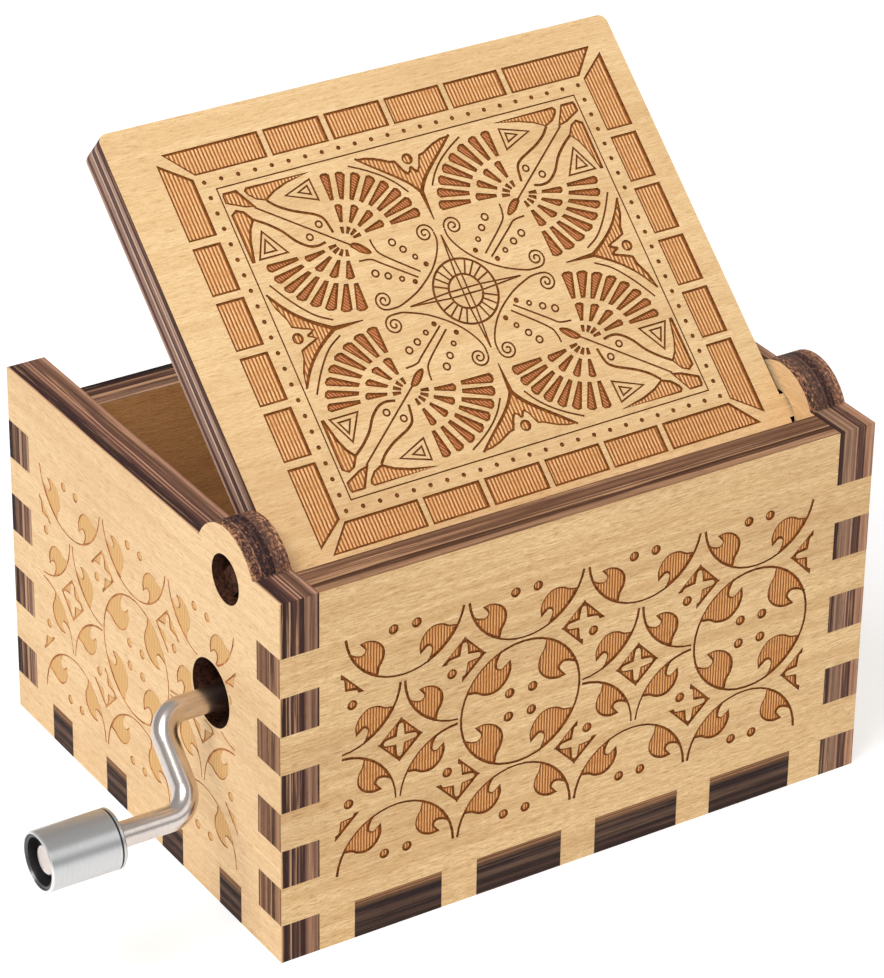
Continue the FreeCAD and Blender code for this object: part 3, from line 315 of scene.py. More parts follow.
# halves of the winged fields on the axes: their outer edges, and the arcs that they lie on
FLANK_TOPS = (
    [(5.0, 14.88), (4.1, 14.78), (3.2, 14.52), (2.45, 14.18), (1.85, 13.88), (1.36, 13.8),
     (1.17, 13.4), (0.86, 12.7), (0.52, 12.32), (0.26, 12.5), (0.1, 12.82), (0, 12.87)],
    [(19.17, 4.6), (18.8, 3.2), (18.2, 1.95), (18.08, 1.2), (17.24, 0.85), (16.5, 0.6),
     (16.2, 0.42), (16.5, 0.2), (16.88, 0.06), (16.92, 0)])
FLANK_ARCS = (
    [(5.15, 15.0), (3.97, 14.02), (2.9, 13.17), (1.85, 12.33), (0.94, 11.5), (0.33, 10.74), (0, 10.2)],
    [(19.2, 4.7), (18.2, 3.24), (17.17, 2.1), (15.95, 1.12), (14.74, 0.36), (14.1, 0)])
FLANK_STROKE = (0.24, 0.38)
THIN_ARCS = (
    [(6.1, 14.5), (4.6, 13.7), (3.2, 12.75), (2.1, 11.7), (1.3, 10.6)],
    [(18.5, 5.5), (17.4, 3.85), (16.2, 2.4), (15.2, 1.5), (13.9, 0.78)])
FEELERS = (
    [(7.1, 7.2), (7.02, 6.4), (6.5, 5.4), (3.55, 2.95)],
    [(9.05, 5.45), (7.8, 5.3), (6.9, 4.65), (4.0, 2.48)])
FEELER_RINGS = (
    ((5.07, 6.35), (4.3, 5.44), (3.44, 4.45), (2.7, 3.5)),
    ((7.98, 3.92), (6.86, 3.37), (5.65, 2.75), (4.5, 2.17)))
FEELER_RING_RADII = (0.33, 0.3, 0.22)
FEELER_DOT = 0.27
# the parts on the diagonal, and the curved petal towards the wheel
BODY_LEAF = [(9.17, 7.17), (8.72, 7.2), (8.16, 6.86), (7.7, 6.32), (7.55, 5.97), (7.92, 6.0),
             (8.46, 6.28), (8.93, 6.76), (9.15, 7.0), (9.17, 7.17)]
BODY_STEM = [(16.75, 12.98), (9.0, 7.05)]
CORNER_TIP = [(17.8, 14.94), (19.1, 14.94), (19.2, 14.7), (19.2, 14.05), (17.6, 13.3), (16.7, 13.1),
              (17.4, 14.25)]
PETAL = [(0.6, 6.3), (0.62, 5.5), (0.98, 4.6), (1.65, 3.6), (2.5, 2.7), (3.7, 1.8), (5.0, 1.05),
         (6.8, 0.38), (7.64, 0.28), (8.3, 0.3)]
VOLUTE = 0.95  # radius of the spirals at the petal's ends
VOLUTE_INNER = 0.1  # share of that radius at their inner end
VOLUTE_POINTS = 34
# centre, angle at the outer end, turns
VOLUTES = (((0.6 + VOLUTE, 6.35), 180, 2.1), ((8.3, 0.3 + VOLUTE), 270, -2.1))
STEMS = (((0, 10.3), (0, 7.4)), ((14.3, 0), (11.1, 0)))
STEM_STROKE = (0.5, 0.12)
BOSSES = ((0, 13.73), (18.0, 0))
AXIS_MIRRORS = ((-1, 1), (1, -1))  # what turns a point over the upright axis, over the level one
BOSS_RADIUS = 0.46


def mirrored(marks, across, up):
    return moved(marks, lambda points: points * np.array([across, up]))


def swapped(marks):
    """The half of a quadrant on the other side of its diagonal."""
    ratio = FIELD[0] / FIELD[1]
    return moved(marks, lambda points: points[:, ::-1] * np.array([ratio, 1 / ratio]))


def fan_heading(angle):
    return np.array([math.cos(math.radians(angle)), math.sin(math.radians(angle)) * FAN_SQUEEZE])


def blade(angle, near, far, narrow, wide):
    """A fan blade with a rounded far end, as an area."""
    along = fan_heading(angle)
    across = np.array([-along[1], along[0]]) / np.linalg.norm(along)
    shape = [(near, -narrow / 2), (far - wide / 4, -wide / 2), (far, -wide / 4), (far, wide / 4),
             (far - wide / 4, wide / 2), (near, narrow / 2)]
    return area([np.array(FAN_APEX) + along * reach + across * off for reach, off in shape], FAN)


def volute(centre, radius, start, turns):
    """A spiral from its middle outwards; a negative number of turns winds clockwise."""
    steps = np.linspace(VOLUTE_INNER, 1, VOLUTE_POINTS)
    return polar(centre, radius * steps, start + 360 * turns * (steps - 1))


def fan():
    """The blades and dashes above the diagonal of a quadrant."""
    marks = []
    for count, near, far, narrow, wide, first, last in FAN_RINGS:
        marks += [blade(angle, near, far, narrow, wide) for angle in np.linspace(first, last, count)]
    count, near, far, first, last = FAN_DASHES
    for angle in np.linspace(first, last, count):
        ends = [FAN_APEX + fan_heading(angle) * reach for reach in (near, far)]
        marks.append(stroke(ends, DASH_STROKE))
    return marks


def ring(centre, radius):
    return stroke(circle(centre, radius, step=RING_STEP), THIN_LINE, closed=True)


def dot(centre, radius):
    return stroke(circle(centre, radius / 2, step=DOT_STEP), radius, closed=True)


def quadrant():
    """A quarter of the lid's ornament: two fans about a slim body, and a petal with two volutes."""
    marks = fan() + swapped(fan())
    for field, body, triangles, eye in zip(CORNER_FIELDS, BODY_LINES, TRIANGLES, EYES):
        marks += [area(field), stroke(smooth(body), BODY_STROKE), ring(eye, EYE_RADIUS)]
        marks += [stroke(triangle, THIN_LINE, closed=True) for triangle in triangles]
    for arc, thin_arc in zip(FLANK_ARCS, THIN_ARCS):
        marks += [stroke(smooth(arc), FLANK_STROKE), stroke(smooth(thin_arc), THIN_LINE)]
    for feeler, rings in zip(FEELERS, FEELER_RINGS):
        marks.append(stroke(smooth(feeler), THIN_LINE))
        marks += [ring(place, radius) for place, radius in zip(rings, FEELER_RING_RADII)]
        marks.append(dot(rings[-1], FEELER_DOT))
    marks += [area(smooth(BODY_LEAF, 3)[:-1], FAN), stroke(BODY_STEM, THIN_LINE), area(CORNER_TIP)]
    marks.append(stroke(smooth(PETAL), THIN_LINE))
    for centre, start, turns in VOLUTES:
        marks.append(stroke(volute(centre, VOLUTE, start, turns), THIN_LINE))
    return marks


def flank_field(top, arc, mirror):
    """A winged field across an axis, from the half outline on one side of it."""
    top, arc = np.array(top), np.array(arc[1:])
    return area(np.vstack([top, (top * mirror)[-2::-1], arc * mirror, arc[-2::-1]]))


def border():
    """Hatched blocks around the field, with mitred corner blocks."""
    marks = []
    for axis in (0, 1):
        other = 1 - axis
        block, gap = BORDER_BLOCK[axis], BORDER_GAP[axis]
        run = BORDER_BLOCKS * block + (BORDER_BLOCKS + 1) * gap
        low, high = BORDER_IN[other], BORDER_OUT[other]
        starts = [-run / 2 + gap + index * (block + gap) for index in range(BORDER_BLOCKS)]
        shapes = [[(a, low), (a + block, low), (a + block, high), (a, high)] for a in starts]
        for side in (1, -1):
            shapes.append([(side * run / 2, low), (side * (BORDER_IN[axis] - MITRE_GAP / 2), low),
                           (side * (BORDER_OUT[axis] - MITRE_GAP), high), (side * run / 2, high)])
        for shape in shapes:
            points = np.array(shape)[:, ::-1] if axis else np.array(shape)
            marks += [area(points), area(points * AXIS_MIRRORS[other])]
    for axis in (0, 1):
        for place in np.linspace(-DOT_ROW[axis], DOT_ROW[axis], DOT_COUNT[axis]):
            for side in (1, -1):
                if axis and abs(place) >= DOT_ROW[1]:
                    continue
                centre = (side * DOT_ROW[0], place) if axis else (place, side * DOT_ROW[1])
                marks.append(dot(centre, DOT_RADIUS))
    corners = np.array(FIELD) * [(1, 1), (-1, 1), (-1, -1), (1, -1)]
    marks.append(stroke(corners, FRAME_STROKE, closed=True))
    return marks


def wheel():
    outer, inner = WHEEL
    marks = [stroke(circle((0, 0), outer, step=6), WHEEL_STROKES[0], closed=True),
             stroke(circle((0, 0), inner, step=9), WHEEL_STROKES[1], closed=True)]
    for angle in SPOKE_ANGLES:
        for quarter in range(4):
            turn = math.radians(angle + 90 * quarter)
            heading = np.array([math.cos(turn), math.sin(turn)])
            marks.append(stroke([heading * inner, heading * outer], SPOKE_STROKE))
    for reach, change in ((WHEEL_RAYS[0], lambda p: p), (WHEEL_RAYS[1], lambda p: p[:, ::-1])):
        rays = [stroke([(-reach, 0), (-inner, side), (inner, side), (reach, 0)], RAY_STROKE)
                for side in (RAY_HALF_WIDTH, -RAY_HALF_WIDTH)]
        marks += moved(rays, change)
    return marks


def lid_ornament():
    marks = border() + wheel()
    for across in (1, -1):
        for up in (1, -1):
            marks += mirrored(quadrant(), across, up)
    for side in (1, -1):
        for stem, boss, top, arc, mirror in zip(STEMS, BOSSES, FLANK_TOPS, FLANK_ARCS, AXIS_MIRRORS):
            flank = [flank_field(top, arc, mirror), stroke(stem, STEM_STROKE),
                     area(circle(boss, BOSS_RADIUS, step=BOSS_STEP))]
            marks += mirrored(flank, side, side)
    return marks


# --- boards
def placed(name, data):
    made = bpy.data.objects.new(name, data)
    bpy.context.scene.collection.objects.link(made)
    return made


class Board:
    """A plywood board: its directions as seen from outside, and its extent in them, in mm."""

    def __init__(self, node, right, up, body="case", faint=False):
        self.node, self.body, self.faint = node, body, faint
        self.depth, self.rim = FAINT_ENGRAVING if faint else ENGRAVING
        self.right, self.up = Vector(right).normalized(), Vector(up).normalized()
        self.out = self.right.cross(self.up)
        depths = [vertex.co.dot(self.out) for vertex in nodes[node].data.vertices]
        self.inner, self.outer = min(depths) / MM, max(depths) / MM

    def flat(self, point):
        return (point.dot(self.right) / MM, point.dot(self.up) / MM)

    def solid(self, across, up, depth=0.0):
        return (self.right * across + self.up * up + self.out * (self.outer - depth)) * MM


def boundary(faces):
    """The edges around a set of faces, in the same order in every run."""
    edges = dict.fromkeys(edge for face in faces for edge in face.edges)
    return [edge for edge in edges if sum(face in faces for face in edge.link_faces) == 1]


def split_rim(board, edges, outline, flat):
    """Gives the rim edges a vertex wherever a mark crosses them.

    Returns these vertices by their place in flat.
    """
    added = {}
    for edge, (start, end) in zip(edges, outline):
        length = np.linalg.norm(end - start)
        heading = (end - start) / length
        run = (flat - start) @ heading
        aside = np.abs((flat - start) @ np.array([-heading[1], heading[0]]))
        near, far = edge.verts
        crossing = (aside < TOUCH) & (run > TOUCH) & (run < length - TOUCH)
        for index in sorted(crossing.nonzero()[0], key=run.item):
            near = bmesh.utils.edge_split(edge, near, 0.5)[1]
            near.co = board.solid(*flat[index])
            edge = next(piece for piece in near.link_edges if far in piece.verts)
            added[index] = near
    return added


def carved_face(mesh, board, faces, marks):
    """Replaces the flat faces by a triangulation in which the marks are sunk."""
    edges = boundary(faces)
    rim = list(dict.fromkeys(vertex for edge in edges for vertex in edge.verts))
    number = {vertex: index for index, vertex in enumerate(rim)}
    points = [np.array(board.flat(vertex.co)) for vertex in rim]
    links = [(number[edge.verts[0]], number[edge.verts[1]]) for edge in edges]
    outline = [(points[a], points[b]) for a, b in links]
    stack = layers(marks, board.rim)
    for _, loops, is_cut in stack:
        for loop in loops if is_cut else ():
            first, count = len(points), len(loop)
            points += list(loop)
            links += [(first + index, first + (index + 1) % count) for index in range(count)]
    points_in = [Vector(point) for point in points]
    flat, _, triangles, origins, _, _ = delaunay_2d_cdt(points_in, links, [], INSIDE_ONLY, TOUCH / 2)
    flat = np.array([tuple(point) for point in flat])
    triangles = np.array([triangle for triangle in triangles if len(triangle) == 3])
    centres = flat[triangles].mean(1)
    on_board = np.zeros(len(centres), bool)
    for start, end in outline:
        crosses = (start[1] > centres[:, 1]) != (end[1] > centres[:, 1])
        if start[1] != end[1]:
            at = start[0] + (centres[:, 1] - start[1]) / (end[1] - start[1]) * (end[0] - start[0])
            on_board ^= crosses & (centres[:, 0] < at)
    kinds = np.full(len(centres), PLAIN, object)
    for kind, loops, _ in stack:
        every = np.vstack(loops)
        near = np.all((centres >= every.min(0)) & (centres <= every.max(0)), 1).nonzero()[0]
        if len(near):
            kinds[near[inside(centres[near], loops)]] = kind
    bmesh.ops.delete(mesh, geom=faces, context="FACES")
    own = {index: rim[min(origin)] for index, origin in enumerate(origins)
           if origin and min(origin) < len(rim)}
    own.update(split_rim(board, edges, outline, flat))
    made = {}

    def corner(index, sunk):
        if (index, sunk) not in made:
            if not sunk and index in own:
                made[index, sunk] = own[index]
            else:
                depth = board.depth if sunk else 0
                made[index, sunk] = mesh.verts.new(board.solid(*flat[index], depth))
        return made[index, sunk]

    level = {}
    for triangle, kind, keep in zip(triangles, kinds, on_board):
        if keep:
            face = mesh.faces.new([corner(index, kind != PLAIN) for index in triangle])
            face.material_index = SLOTS.index(KIND_SLOT[kind])
            level.update({(a, b): kind != PLAIN for a, b in zip(triangle, np.roll(triangle, -1))})
    for (a, b), sunk in level.items():
        if sunk and not level.get((b, a), False):
            wall = mesh.faces.new([corner(b, True), corner(a, True), corner(a, False), corner(b, False)])
            wall.material_index = SLOTS.index("burn")


SLOTS = ["face", "back", "edge", "hatch", "fine_hatch", "burn", "char"]
KIND_SLOT = {PLAIN: "face", LINE: "burn", FILL: "hatch", FAN: "fine_hatch"}
SMOOTH_ANGLE = math.radians(32)
FACING = 0.99  # cosine, from which a surface counts as facing a direction
FLUSH = 0.01  # mm


def is_charred_and_shaded(node, centre):
    """Whether a cut surface is in a hole of a side wall or on a tongue of the lid, where it gets the near-black
    char material: burnt colour darkened further as painted shade. centre is in mm.
    """
    if node == "lid":
        return abs(centre.x) > TONGUE_FROM
    to_hinge = math.hypot(centre.y - LID_HINGE.y / MM, centre.z - LID_HINGE.z / MM)
    to_crank = math.hypot(centre.y - CRANK_HOLE[0], centre.z - CRANK_HOLE[1])
    return to_hinge < HINGE_HOLE or (node == "crank_wall" and to_crank < CRANK_HOLE[2])


def dressed_board(board, marks, materials):
    """A copy of a board's mesh, engraved on its outer face, with a material for each kind of surface."""
    mesh = bmesh.new()
    mesh.from_mesh(nodes[board.node].data)
    bmesh.ops.remove_doubles(mesh, verts=mesh.verts, dist=WELD)
    outer = []
    for face in mesh.faces:
        facing = face.normal.dot(board.out)
        centre = face.calc_center_median() / MM
        if facing > FACING and abs(centre.dot(board.out) - board.outer) < FLUSH:
            outer.append(face)
        kind = "face" if facing > FACING else "back" if facing < -FACING else "edge"
        # cut surfaces in the hinge and crank holes and on the lid's tongues get the char material: real burning
        # plus painted shade
        if kind == "edge" and is_charred_and_shaded(board.node, centre):
            kind = "char"
        face.material_index = SLOTS.index(kind)
    if marks:
        carved_face(mesh, board, outer, marks)
    data = bpy.data.meshes.new(board.node + "_dressed")
    mesh.to_mesh(data)
    mesh.free()
    if "custom_normal" in data.attributes:
        data.attributes.remove(data.attributes["custom_normal"])
    for slot in SLOTS:
        data.materials.append(materials[slot])
    curved = (SLOTS.index("edge"), SLOTS.index("char"))
    data.polygons.foreach_set("use_smooth", [face.material_index in curved for face in data.polygons])
    data.set_sharp_from_angle(angle=SMOOTH_ANGLE)
    piece = placed(board.node + "_dressed", data)
    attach(piece, board.body)
    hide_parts(board.node)
    return piece


# --- node trees
MIX_SOCKETS = (0, 6, 7)  # the Mix node's inputs for the factor and two colours


class Shader:
    """A material with a Principled shader, built one node per call."""

    def __init__(self, name):
        self.material = bpy.data.materials.new(name)
        self.material.use_nodes = True
        self.nodes, self.links = self.material.node_tree.nodes, self.material.node_tree.links
        self.surface = self.nodes["Principled BSDF"]

    def link(self, socket, value):
        if isinstance(value, bpy.types.NodeSocket):
            self.links.new(value, socket)
        elif value is not None:
            socket.default_value = value

    def add(self, kind, *values, **settings):
        """A node; values go to its inputs in order, settings to its properties or named inputs."""
        node = self.nodes.new("ShaderNode" + kind)
        own = [key for key in settings if key in node.bl_rna.properties]
        for key in own:
            setattr(node, key, settings[key])
        for socket, value in zip(node.inputs, values):
            self.link(socket, value)
        for key in settings:
            if key not in own:
                self.link(node.inputs[key.replace("_", " ")], settings[key])
        return node

    def math(self, operation, *values):
        return self.add("Math", *values, operation=operation).outputs[0]

    def place(self):
        """The point in the piece's own space, in mm."""
        here = self.add("TexCoord").outputs["Object"]
        return self.add("VectorMath", here, operation="SCALE", Scale=1 / MM).outputs[0]

    def along(self, direction, offset=0.0):
        """How far the point lies along a direction, in mm."""
        dot = self.add("VectorMath", self.place(), tuple(direction), operation="DOT_PRODUCT")
        return self.math("SUBTRACT", dot.outputs["Value"], offset)

    def joined(self, x, y, z):
        return self.add("CombineXYZ", x, y, z).outputs[0]

    def stretched(self, vector, x, y, z):
        return self.add("VectorMath", vector, (x, y, z), operation="MULTIPLY").outputs[0]

    def noise(self, vector, scale, detail, roughness, distortion=0.0):
        return self.add("TexNoise", Vector=vector, Scale=scale, Detail=detail, Roughness=roughness,
                        Distortion=distortion).outputs["Fac"]

    def ramp(self, factor, *stops):
        """A colour ramp through (position, grey or colour) stops."""
        node = self.add("ValToRGB", factor)
        points = node.color_ramp.elements
        while len(points) < len(stops):
            points.new(0.5)
        for point, (position, _) in zip(points, stops):
            point.position = position
        for point, (_, colour) in zip(points, stops):
            point.color = (*(colour if isinstance(colour, tuple) else (colour,) * 3), 1)
        return node.outputs["Color"]

    def mix(self, factor, first, second):
        node = self.add("Mix", data_type="RGBA")
        for index, value in zip(MIX_SOCKETS, (factor, first, second)):
            self.link(node.inputs[index], (*value, 1) if isinstance(value, tuple) else value)
        return node.outputs[2]

    def bump(self, height, distance, strength, normal=None):
        """Relief of a height from 0 to 1, that many mm high."""
        node = self.add("Bump", Strength=strength, Distance=distance * MM, Height=height)
        self.link(node.inputs["Normal"], normal)
        return node.outputs[0]

    def finish(self, colour, rough, relief=None, sheen=None, **sockets):
        """The material, with the inputs of its surface set."""
        sockets.update(Base_Color=colour, Roughness=rough, Normal=relief, Specular_IOR_Level=sheen)
        for key, value in sockets.items():
            value = (*value, 1) if isinstance(value, tuple) else value
            self.link(self.surface.inputs[key.replace("_", " ")], value)
        return self.material


def srgb(red, green, blue):
    """A linear colour from the 0 to 255 values that a screen shows."""
    scaled = [value / 255 for value in (red, green, blue)]
    return tuple(v / 12.92 if v <= 0.04045 else ((v + 0.055) / 1.055) ** 2.4 for v in scaled)


# --- wood
WOOD_GRAIN = 22.0  # how much longer than wide a fibre is
WALL_PITCH = 0.305  # mm between the burnt lines of a field
LID_PITCH = 0.37
FINE_PITCH = 0.26
WALL_TOP = 37.6  # mm
EAR_REACH = 10  # mm, the hinge distance at the end of the ear's colour ramp
PATTERN_STEP = (31.7, 17.3)  # mm that the grain moves on from one board to the next
BACK_PATTERN, LID_PATTERN, FLOOR_PATTERN = 5, 7, 9
BURN_GRAIN = 2.6
FAINT_BURN_GRAIN = 0.9
FINE_SLANT = 35  # degrees
SANDED_SHEEN, BURNT_SHEEN = 0.3, 0.12
# the plies of each board from its inner to its outer face, as laser-cut edges show them
PLIES = {
    "back_wall": (
        (0, 92, 62, 46), (0.08, 140, 101, 74), (0.2, 106, 73, 55), (0.3, 138, 98, 72),
        (0.44, 96, 65, 49), (0.54, 122, 87, 64), (0.57, 190, 144, 106), (0.6, 70, 44, 31),
        (0.74, 92, 61, 44), (0.8, 144, 105, 78), (0.9, 166, 126, 95), (0.97, 148, 108, 78),
        (1, 112, 76, 50)),
    "front_wall": (
        (0, 116, 84, 64), (0.06, 200, 158, 126), (0.12, 130, 98, 80), (0.28, 118, 88, 73),
        (0.33, 66, 44, 37), (0.38, 164, 124, 98), (0.46, 196, 154, 118), (0.5, 70, 46, 39),
        (0.66, 98, 68, 56), (0.74, 140, 103, 80), (0.78, 54, 36, 32), (0.92, 40, 27, 25),
        (1, 34, 23, 22)),
    # the crank wall's light last band is a painted highlight along its outer arris
    "crank_wall": (
        (0, 58, 36, 28), (0.035, 66, 42, 32), (0.055, 156, 115, 92), (0.16, 128, 94, 76),
        (0.26, 166, 124, 98), (0.35, 120, 86, 70), (0.4, 56, 36, 34), (0.5, 70, 46, 41),
        (0.53, 134, 97, 75), (0.56, 66, 43, 39), (0.64, 90, 62, 53), (0.72, 48, 31, 30),
        (0.745, 204, 162, 126), (0.775, 78, 52, 43), (0.88, 50, 33, 30), (0.955, 64, 42, 33),
        (0.975, 206, 160, 112), (1, 226, 184, 134)),
    # a lighter copy of the crank wall's plies for its top edge, which faces up: painted light, with a painted
    # highlight on the arris in its last band
    "crank_wall_top": (
        (0, 140, 100, 80), (0.07, 185, 140, 115), (0.14, 130, 95, 75), (0.25, 105, 75, 60),
        (0.33, 120, 85, 70), (0.43, 95, 65, 55), (0.465, 210, 160, 130), (0.49, 110, 75, 65),
        (0.54, 120, 85, 70), (0.56, 190, 145, 115), (0.585, 110, 75, 65), (0.73, 65, 45, 42),
        (0.93, 58, 38, 36), (0.965, 215, 170, 130), (1, 240, 205, 160)),
    "plain_wall": (
        (0, 54, 35, 32), (0.12, 74, 50, 44), (0.17, 172, 134, 106), (0.24, 116, 88, 72),
        (0.36, 156, 120, 96), (0.46, 124, 92, 75), (0.5, 184, 140, 112), (0.54, 84, 56, 48),
        (0.66, 102, 72, 61), (0.74, 72, 47, 41), (0.77, 178, 132, 102), (0.86, 154, 114, 92),
        (0.96, 196, 148, 116), (1, 134, 92, 68)),
    "lid": (
        (0, 184, 150, 130), (0.08, 160, 127, 110), (0.13, 72, 48, 45), (0.2, 86, 60, 55),
        (0.26, 166, 132, 115), (0.36, 138, 108, 95), (0.42, 214, 184, 160), (0.46, 70, 46, 44),
        (0.54, 108, 80, 72), (0.6, 78, 53, 50), (0.66, 204, 172, 150), (0.72, 154, 121, 104),
        (0.78, 174, 140, 120), (0.83, 66, 43, 41), (0.9, 88, 62, 56), (0.96, 62, 41, 39),
        (1, 120, 84, 60)),
    "bottom_board": (
        (0, 92, 66, 50), (0.03, 46, 32, 27), (0.12, 58, 42, 37), (0.2, 80, 58, 50), (0.28, 46, 33, 31),
        (0.38, 58, 43, 38), (0.46, 100, 76, 62), (0.54, 84, 63, 54), (0.62, 47, 34, 33),
        (0.74, 44, 32, 31), (0.79, 84, 60, 46), (0.86, 112, 81, 58), (0.905, 166, 120, 84),
        (0.93, 62, 41, 30), (0.95, 156, 112, 76), (0.98, 150, 106, 72), (1, 88, 58, 38))}

# light, dark and fleck colour of the outer veneers
VENEERS = {
    "lid": (srgb(244, 209, 158), srgb(216, 176, 122), srgb(184, 134, 82)),
    "back_wall": (srgb(243, 209, 156), srgb(200, 154, 98), srgb(158, 106, 58)),
    "crank_wall": (srgb(240, 206, 158), srgb(216, 176, 126), srgb(180, 130, 82))}
# the same of the inner veneers
INNER_VENEERS = {
    # the front wall's inner veneer is darker and more orange than the outer ones: painted shade for the inside of
    # the box
    "front_wall": (srgb(238, 188, 132), srgb(208, 158, 104), srgb(160, 110, 64)),
    "plain_wall": (srgb(246, 214, 166), srgb(222, 184, 132), srgb(190, 142, 92))}
PLAIN_INNER_VENEER = (srgb(242, 202, 150), srgb(216, 174, 122), srgb(178, 130, 82))


def board_space(shader, board, turn):
    """Coordinates on a board in mm: along the grain, across it and through the board."""
    shift, rise = PATTERN_STEP
    return shader.joined(shader.along(board.right, turn * shift), shader.along(board.up, turn * rise),
                         shader.along(board.out, board.inner))


def veneer(name, board, turn, light, dark, fleck):
    """Sanded veneer: fine fibres, soft streaks, sparse flecks and a little sheen."""
    shader = Shader(name)
    space = board_space(shader, board, turn)
    fibre = shader.noise(shader.stretched(space, 2.2 / WOOD_GRAIN, 1, 1), 7.5, 4, 0.7)
    streak = shader.noise(shader.stretched(space, 0.6 / WOOD_GRAIN, 1, 1), 1.1, 4, 0.6, 0.4)
    cloud = shader.noise(shader.stretched(space, 0.4, 1, 1), 0.1, 3, 0.5)
    short = shader.noise(shader.stretched(space, 0.14, 1, 1), 5.0, 3, 0.55)
    speck = shader.noise(shader.stretched(space, 0.45, 1, 1), 8.0, 2, 0.5)
    colour = shader.mix(shader.ramp(fibre, (0.34, 0.15), (0.6, 1.0)), dark, light)
    colour = shader.mix(shader.ramp(streak, (0.38, 0.5), (0.58, 0.0)), colour, dark)
    colour = shader.mix(shader.ramp(cloud, (0.45, 0.0), (0.75, 0.25)), colour, fleck)
    colour = shader.mix(shader.ramp(short, (0.55, 0.0), (0.7, 0.5)), colour, fleck)
    colour = shader.mix(shader.ramp(speck, (0.6, 0.0), (0.74, 0.6)), colour, fleck)
    relief = shader.bump(fibre, 0.04, 0.7)
    relief = shader.bump(short, 0.05, 0.7, relief)
    rough = shader.ramp(fibre, (0.3, 0.62), (0.8, 0.5))
    return shader.finish(colour, rough, relief, SANDED_SHEEN)


def ply_stops(name):
    return [(place, srgb(*colour)) for place, *colour in PLIES[name]]


def ply_edge(name, board, turn):
    """The laser-cut edge of a board: burnt plies, dark and light in turn, with scorched streaks. The crank wall's
    edges also carry painted light: a highlight on the outer arris and a lighter copy of the plies for the top
    edge.
    """
    shader = Shader(name)
    space = board_space(shader, board, turn)
    depth = shader.math("DIVIDE", shader.along(board.out, board.inner), board.outer - board.inner)
    waver = shader.noise(shader.stretched(space, 0.12, 0.12, 0.4), 1.0, 3, 0.6)
    shift = shader.math("MULTIPLY_ADD", waver, 0.04, -0.02)
    ply = shader.math("ADD", depth, shift)
    colour = shader.ramp(ply, *ply_stops(board.node))
    if board.node == "crank_wall":
        # the top edge takes the lighter copy of the plies: painted light
        on_top = shader.math("COMPARE", shader.along((0, 0, 1)), WALL_TOP, 0.05)
        colour = shader.mix(on_top, colour, shader.ramp(ply, *ply_stops("crank_wall_top")))
    thread = shader.noise(shader.stretched(space, 0.05, 0.05, 3.0), 1.3, 4, 0.62)
    scorch = shader.noise(shader.stretched(space, 0.6, 0.6, 0.8), 2.4, 4, 0.65)
    colour = shader.mix(shader.ramp(thread, (0.53, 0.0), (0.66, 0.55)), colour, srgb(56, 34, 26))
    pale = {"bottom_board": 0.15, "lid": 0.35}.get(board.node, 0.6)
    colour = shader.mix(shader.ramp(thread, (0.35, pale), (0.44, 0.0)), colour, srgb(206, 158, 120))
    colour = shader.mix(shader.ramp(scorch, (0.57, 0.0), (0.76, 0.25)), colour, srgb(48, 29, 23))
    if board.node in ("crank_wall", "plain_wall"):
        colour = charred_ear(shader, space, depth, colour)
    relief = shader.bump(thread, 0.05, 0.6, shader.bump(scorch, 0.05, 0.6))
    rough = shader.ramp(scorch, (0.3, 0.6), (0.8, 0.85))
    return shader.finish(colour, rough, relief, BURNT_SHEEN)


def charred_ear(shader, space, depth, colour):
    """The edge around the hinge: near black, with brown specks that gather at both faces of the board."""
    hinge = tuple(LID_HINGE / MM)
    away = shader.add("VectorMath", shader.place(), hinge, operation="SUBTRACT").outputs[0]
    away = shader.stretched(away, 0, 1, 1)
    reach = shader.add("VectorMath", away, operation="LENGTH").outputs["Value"]
    on_ear = shader.ramp(shader.math("DIVIDE", reach, EAR_REACH), (0.53, 1.0), (0.555, 0.0))
    rim = shader.math("ABSOLUTE", shader.math("MULTIPLY_ADD", depth, 2, -1))
    grain = shader.noise(shader.stretched(space, 0.6, 0.6, 1), 4.6, 4, 0.75)
    specks = shader.math("MULTIPLY_ADD", rim, 0.16, grain)
    charred = shader.ramp(specks, (0.51, srgb(38, 28, 31)), (0.59, srgb(72, 50, 48)),
                          (0.67, srgb(146, 98, 74)), (0.76, srgb(216, 160, 116)))
    return shader.mix(shader.math("MULTIPLY", on_ear, 0.74), colour, charred)


def hatched(name, board, turn, pitch, slant, light, dark, mid):
    """The floor of an engraved field: burnt lines on paler wood, that lean by slant degrees."""
    shader = Shader(name)
    lean = math.radians(slant)
    across = board.right * math.cos(lean) + board.up * math.sin(lean)
    space = board_space(shader, board, turn)
    waver = shader.noise(space, 1.7, 2, 0.5)
    run = shader.math("ADD", shader.along(across), shader.math("MULTIPLY", waver, 0.10))
    wave = shader.math("SINE", shader.math("MULTIPLY", run, 2 * math.pi / pitch))
    wave = shader.math("MULTIPLY_ADD", wave, 0.5, 0.5)
    patch = shader.noise(space, 0.8, 4, 0.6)
    fibre = shader.noise(shader.stretched(space, 1 / WOOD_GRAIN, 1, 1), 6, 3, 0.6)
    colour = shader.mix(shader.ramp(wave, (0.15, 1.0), (0.75, 0.0)), light, dark)
    colour = shader.mix(shader.ramp(patch, (0.35, 0.0), (0.75, 0.6)), colour, mid)
    colour = shader.mix(shader.ramp(fibre, (0.45, 0.0), (0.8, 0.3)), colour, dark)
    rough = shader.ramp(patch, (0.3, 0.7), (0.8, 0.85))
    relief = shader.bump(wave, 0.07, 0.8)
    return shader.finish(colour, rough, relief, BURNT_SHEEN)


def burnt(name, board, turn, light, dark, scale=BURN_GRAIN):
    """The scorched walls and lines of the engraving."""
    shader = Shader(name)
    space = board_space(shader, board, turn)
    char = shader.noise(space, scale, 4, 0.65)
    colour = shader.ramp(char, (0.36, dark), (0.64, light))
    relief = shader.bump(char, 0.04, 0.5)
    return shader.finish(colour, 0.85, relief, BURNT_SHEEN)


